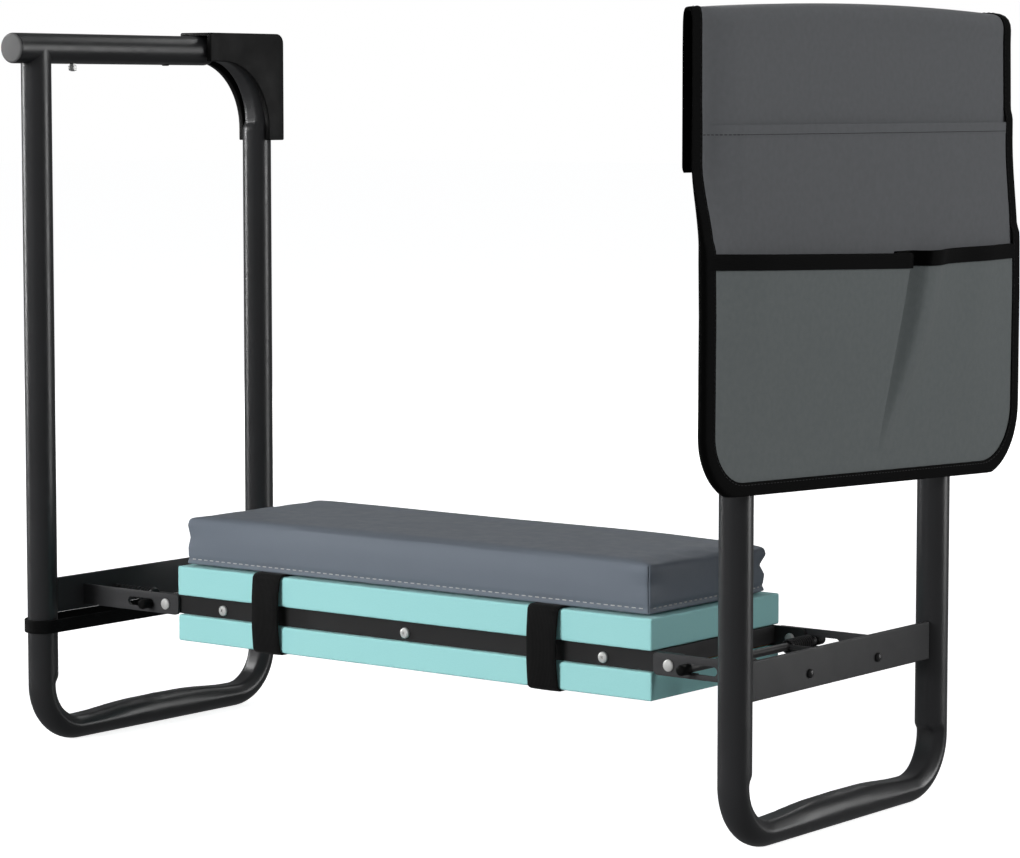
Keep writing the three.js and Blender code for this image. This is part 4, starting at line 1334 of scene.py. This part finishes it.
def bag():
    rows = rows_between(0, BAG_LENGTH, [BAG_LENGTH - np.array(EDGE_FINE), [0.5 * MM, 1.5 * MM],
                                        np.linspace(FLAP_END_S - 20 * MM, OVER_S + 20 * MM, 40)])

    panel = cloth("bag_back_panel", rows, left_side, right_side, panel_height, BAG_CLOTH,
                  BAG_UPPER)
    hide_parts("bag_panel")
    path, inward = panel_outline()
    front = layers_at(path[:, 0], path[:, 1])
    back = np.full(len(path), -BAG_CLOTH / 2)
    edge = make("bag_edge_binding", loft(tape_rings(path, inward, front, back, TAPE), True),
                BINDING, "tool_bag", (), 50)
    tidy_normals(edge)
    edge_rows = binding_stitches(path, inward, front)

    mouth = slanted((UPPER_MOUTH, UPPER_MOUTH), -BAG_HALF, BAG_HALF)
    upper = pocket("bag_upper_pocket_cloth", BAG_UPPER, mouth, lambda s: left_side(s, 0.6 * MM),
                   lambda s: right_side(s, 0.6 * MM), upper_height, ["bag_upper_pocket"], 0.25 * MM)
    hem = pocket_hem()
    left_mouth = slanted(LEFT_MOUTH, -BAG_HALF, DIVIDE_TOP)
    right_mouth = slanted(RIGHT_MOUTH, DIVIDE_TOP, BAG_HALF)
    lower_left = pocket("bag_lower_left_cloth", BAG_LOWER, left_mouth,
                        lambda s: left_side(s, 0.6 * MM), divide_at, left_height,
                        ["bag_lower_left_pocket"])
    lower_right = pocket("bag_lower_right_cloth", BAG_LOWER, right_mouth,
                         lambda s: divide_at(s) - 12 * MM, lambda s: right_side(s, 0.6 * MM),
                         right_height, ["bag_lower_right_pocket"])
    left_tape = mouth_tape("bag_left_mouth_binding", left_mouth, -BAG_HALF + 2 * MM,
                           DIVIDE_TOP + 1.2 * MM, left_height)
    right_tape = mouth_tape("bag_right_mouth_binding", right_mouth, DIVIDE_TOP - 12 * MM,
                            BAG_HALF - 2 * MM, right_height)


def mouth_tape(name, mouth, y0, y1, height):
    y = np.linspace(y0, y1, 120)
    rings = []
    half = POCKET_CLOTH / 2
    for a, b in zip(y, mouth(y)):
        depths = [TAPE, 0.6 * TAPE, 0.25 * TAPE, 0]
        outer = [(d, height(a, b + d) + half + 0.85 * MM) for d in depths]
        top = height(a, b)
        turn = [(-(half + 0.85 * MM) * math.sin(t), top + (half + 0.85 * MM) * math.cos(t))
                for t in np.linspace(0.4, 2.74, 6)]
        inner = [(d, height(a, b + d) - half - 0.5 * MM) for d in depths[::-1]]
        inside = [(TAPE, height(a, b + TAPE) - half - 0.02 * MM),
                  (0, top - half - 0.02 * MM), (-0.4 * MM, top), (0, top + half + 0.02 * MM),
                  (TAPE, height(a, b + TAPE) + half + 0.02 * MM)]
        ring = outer + turn + inner + inside
        rings.append(bag_point(np.full(len(ring), a), np.array([b + d for d, _ in ring]),
                               np.array([float(h) for _, h in ring])))
    obj = make(name, loft(rings), BINDING, "tool_bag", (), 50)
    tidy_normals(obj)
    return obj


def row_of_stitches(name, y, s, n, look, length, radius, pitch):
    """Stitches along a line on the laid out cloth."""
    line = bag_point(y, s, n)
    above = bag_point(y, s, n + MM)
    run = np.concatenate([[0], np.cumsum(np.linalg.norm(np.diff(line, axis=0), axis=1))])
    shapes = []
    for d in np.arange(pitch / 2, run[-1], pitch):
        centre = np.array([np.interp(d, run, line[:, i]) for i in range(3)])
        ahead = np.array([np.interp(d + MM, run, line[:, i]) for i in range(3)])
        out = np.array([np.interp(d, run, (above - line)[:, i]) for i in range(3)])
        if np.linalg.norm(ahead - centre) > 1e-6:
            shapes.append(stitch(centre, ahead - centre, out, length, radius))
    obj = make(name, join_shapes(shapes), look, "tool_bag")
    return obj


def binding_stitches(path, inward, front):
    inset = TAPE - 1.6 * MM
    y, s = path[:, 0] + inward[:, 0] * inset, path[:, 1] + inward[:, 1] * inset
    return row_of_stitches("bag_binding_stitches", y, s, front + 0.85 * MM, DARK_THREAD, 2.4 * MM,
                           0.22 * MM, 3.4 * MM)


def pocket_hem():
    y = np.linspace(-BAG_HALF + TAPE, BAG_HALF - TAPE, 160)
    s = np.full(len(y), down_to(UPPER_MOUTH - HEM_BAND + 1.2 * MM))
    n = upper_height(y, s) + POCKET_CLOTH / 2 + 0.25 * MM
    return row_of_stitches("bag_pocket_hem", y, s, n, DARK_THREAD, 2.2 * MM, 0.24 * MM, 2.9 * MM)


# ------------------------------------------------------------------ studio
CAMERA_AT = (1.4088, -1.7838, 0.4451)
CAMERA_TURN = 37.817
CAMERA_TILT = 5.114
CAMERA_LENS = 122
CAMERA_SHIFT = -0.02


def camera():
    data = bpy.data.cameras.new("camera")
    data.lens, data.sensor_width = CAMERA_LENS, 36
    data.shift_y = CAMERA_SHIFT
    data.clip_start, data.clip_end = 0.05, 100
    obj = bpy.data.objects.new("camera", data)
    obj.location = CAMERA_AT
    obj.rotation_euler = (math.radians(90 - CAMERA_TILT), 0, math.radians(CAMERA_TURN))
    bpy.context.scene.collection.objects.link(obj)
    bpy.context.scene.camera = obj


def area_light(name, place, size, power, shiny):
    """A soft light on the middle of the seat: either for the highlights or for all the rest."""
    data = bpy.data.lights.new(name, "AREA")
    data.shape, data.size, data.size_y = "RECTANGLE", size[0], size[1]
    data.energy = power
    obj = bpy.data.objects.new(name, data)
    obj.location = place
    obj.rotation_euler = (Vector((0, 0, 0.25)) - Vector(place)).to_track_quat("-Z", "Y").to_euler()
    obj.visible_glossy, obj.visible_diffuse = shiny, not shiny
    bpy.context.scene.collection.objects.link(obj)


def plain(name, colour, glow):
    look = Look(name, colour, 0.9, 0.0, Specular_IOR_Level=0.0, Emission_Strength=glow)
    look.shader.inputs["Emission Color"].default_value = (1, 1, 1, 1)
    return look.material


def hide_from_light(obj, shadow=True):
    obj.visible_diffuse = obj.visible_glossy = obj.visible_transmission = False
    obj.visible_shadow = shadow


def studio():
    scene = bpy.context.scene
    scene.view_settings.view_transform = "Standard"
    world = bpy.data.worlds.new("studio")
    world.use_nodes = True
    world.node_tree.nodes["Background"].inputs[0].default_value = (0.96, 0.98, 1, 1)
    world.node_tree.nodes["Background"].inputs[1].default_value = 0.16
    scene.world = world
    reach = 18.0
    square = [(-reach, -reach, 0), (reach, -reach, 0), (reach, reach, 0), (-reach, reach, 0)]
    floor = bpy.data.objects.new("floor", bpy.data.meshes.new("floor"))
    floor.data.from_pydata(square, [], [(0, 1, 2, 3)])
    floor.data.materials.append(plain("floor", (238, 238, 238), 0.86))
    dome = bpy.data.objects.new("backdrop", bpy.data.meshes.new("backdrop"))
    rings = [[(reach * 1.3 * math.cos(e) * math.cos(a), reach * 1.3 * math.cos(e) * math.sin(a),
               reach * 1.3 * math.sin(e)) for a in np.linspace(0, 2 * math.pi, 48, False)]
             for e in np.linspace(-0.4, 1.5, 12)]
    points, faces = loft(rings)
    dome.data.from_pydata([tuple(p) for p in points], [], faces)
    dome.data.materials.append(plain("backdrop", (0, 0, 0), 1.0))
    for obj, shadow in ((floor, False), (dome, False)):
        scene.collection.objects.link(obj)
        hide_from_light(obj, shadow)
    area_light("key", (-0.8, -2.8, 0.95), (1.5, 1.3), 76, False)
    area_light("right_fill", (2.35, 0.35, 1.25), (0.7, 0.9), 13, False)
    area_light("right_strip", (2.05, 1.6, 0.6), (0.9, 1.4), 27, True)
    area_light("left_strip", (-1.5, -0.55, 0.7), (0.2, 1.2), 15, True)
    area_light("back_strip", (-0.15, 2.0, 1.85), (1.2, 0.5), 7, True)
    area_light("back_fill", (-1.8, 2.4, 1.0), (1.0, 1.0), 16, False)


# ------------------------------------------------------------------ assembly
camera()
studio()
plated_nodes()
rail_screws()
pivot_rivets()
foam_pad("upper_foam_block", "upper_foam_pad")
foam_pad("lower_foam_block", "lower_foam_pad")
for leg_name, _ in LEGS:
    pad_strap(leg_name)
cushion()
for leg_name, leg_side in LEGS:
    plane = leg_plane(leg_name)
    leg_tube(leg_name, plane)
    handle_fittings(leg_name, plane)
    corner_cover(leg_name, plane)
    bracket(leg_name, leg_side)
storage_strap()
bag()
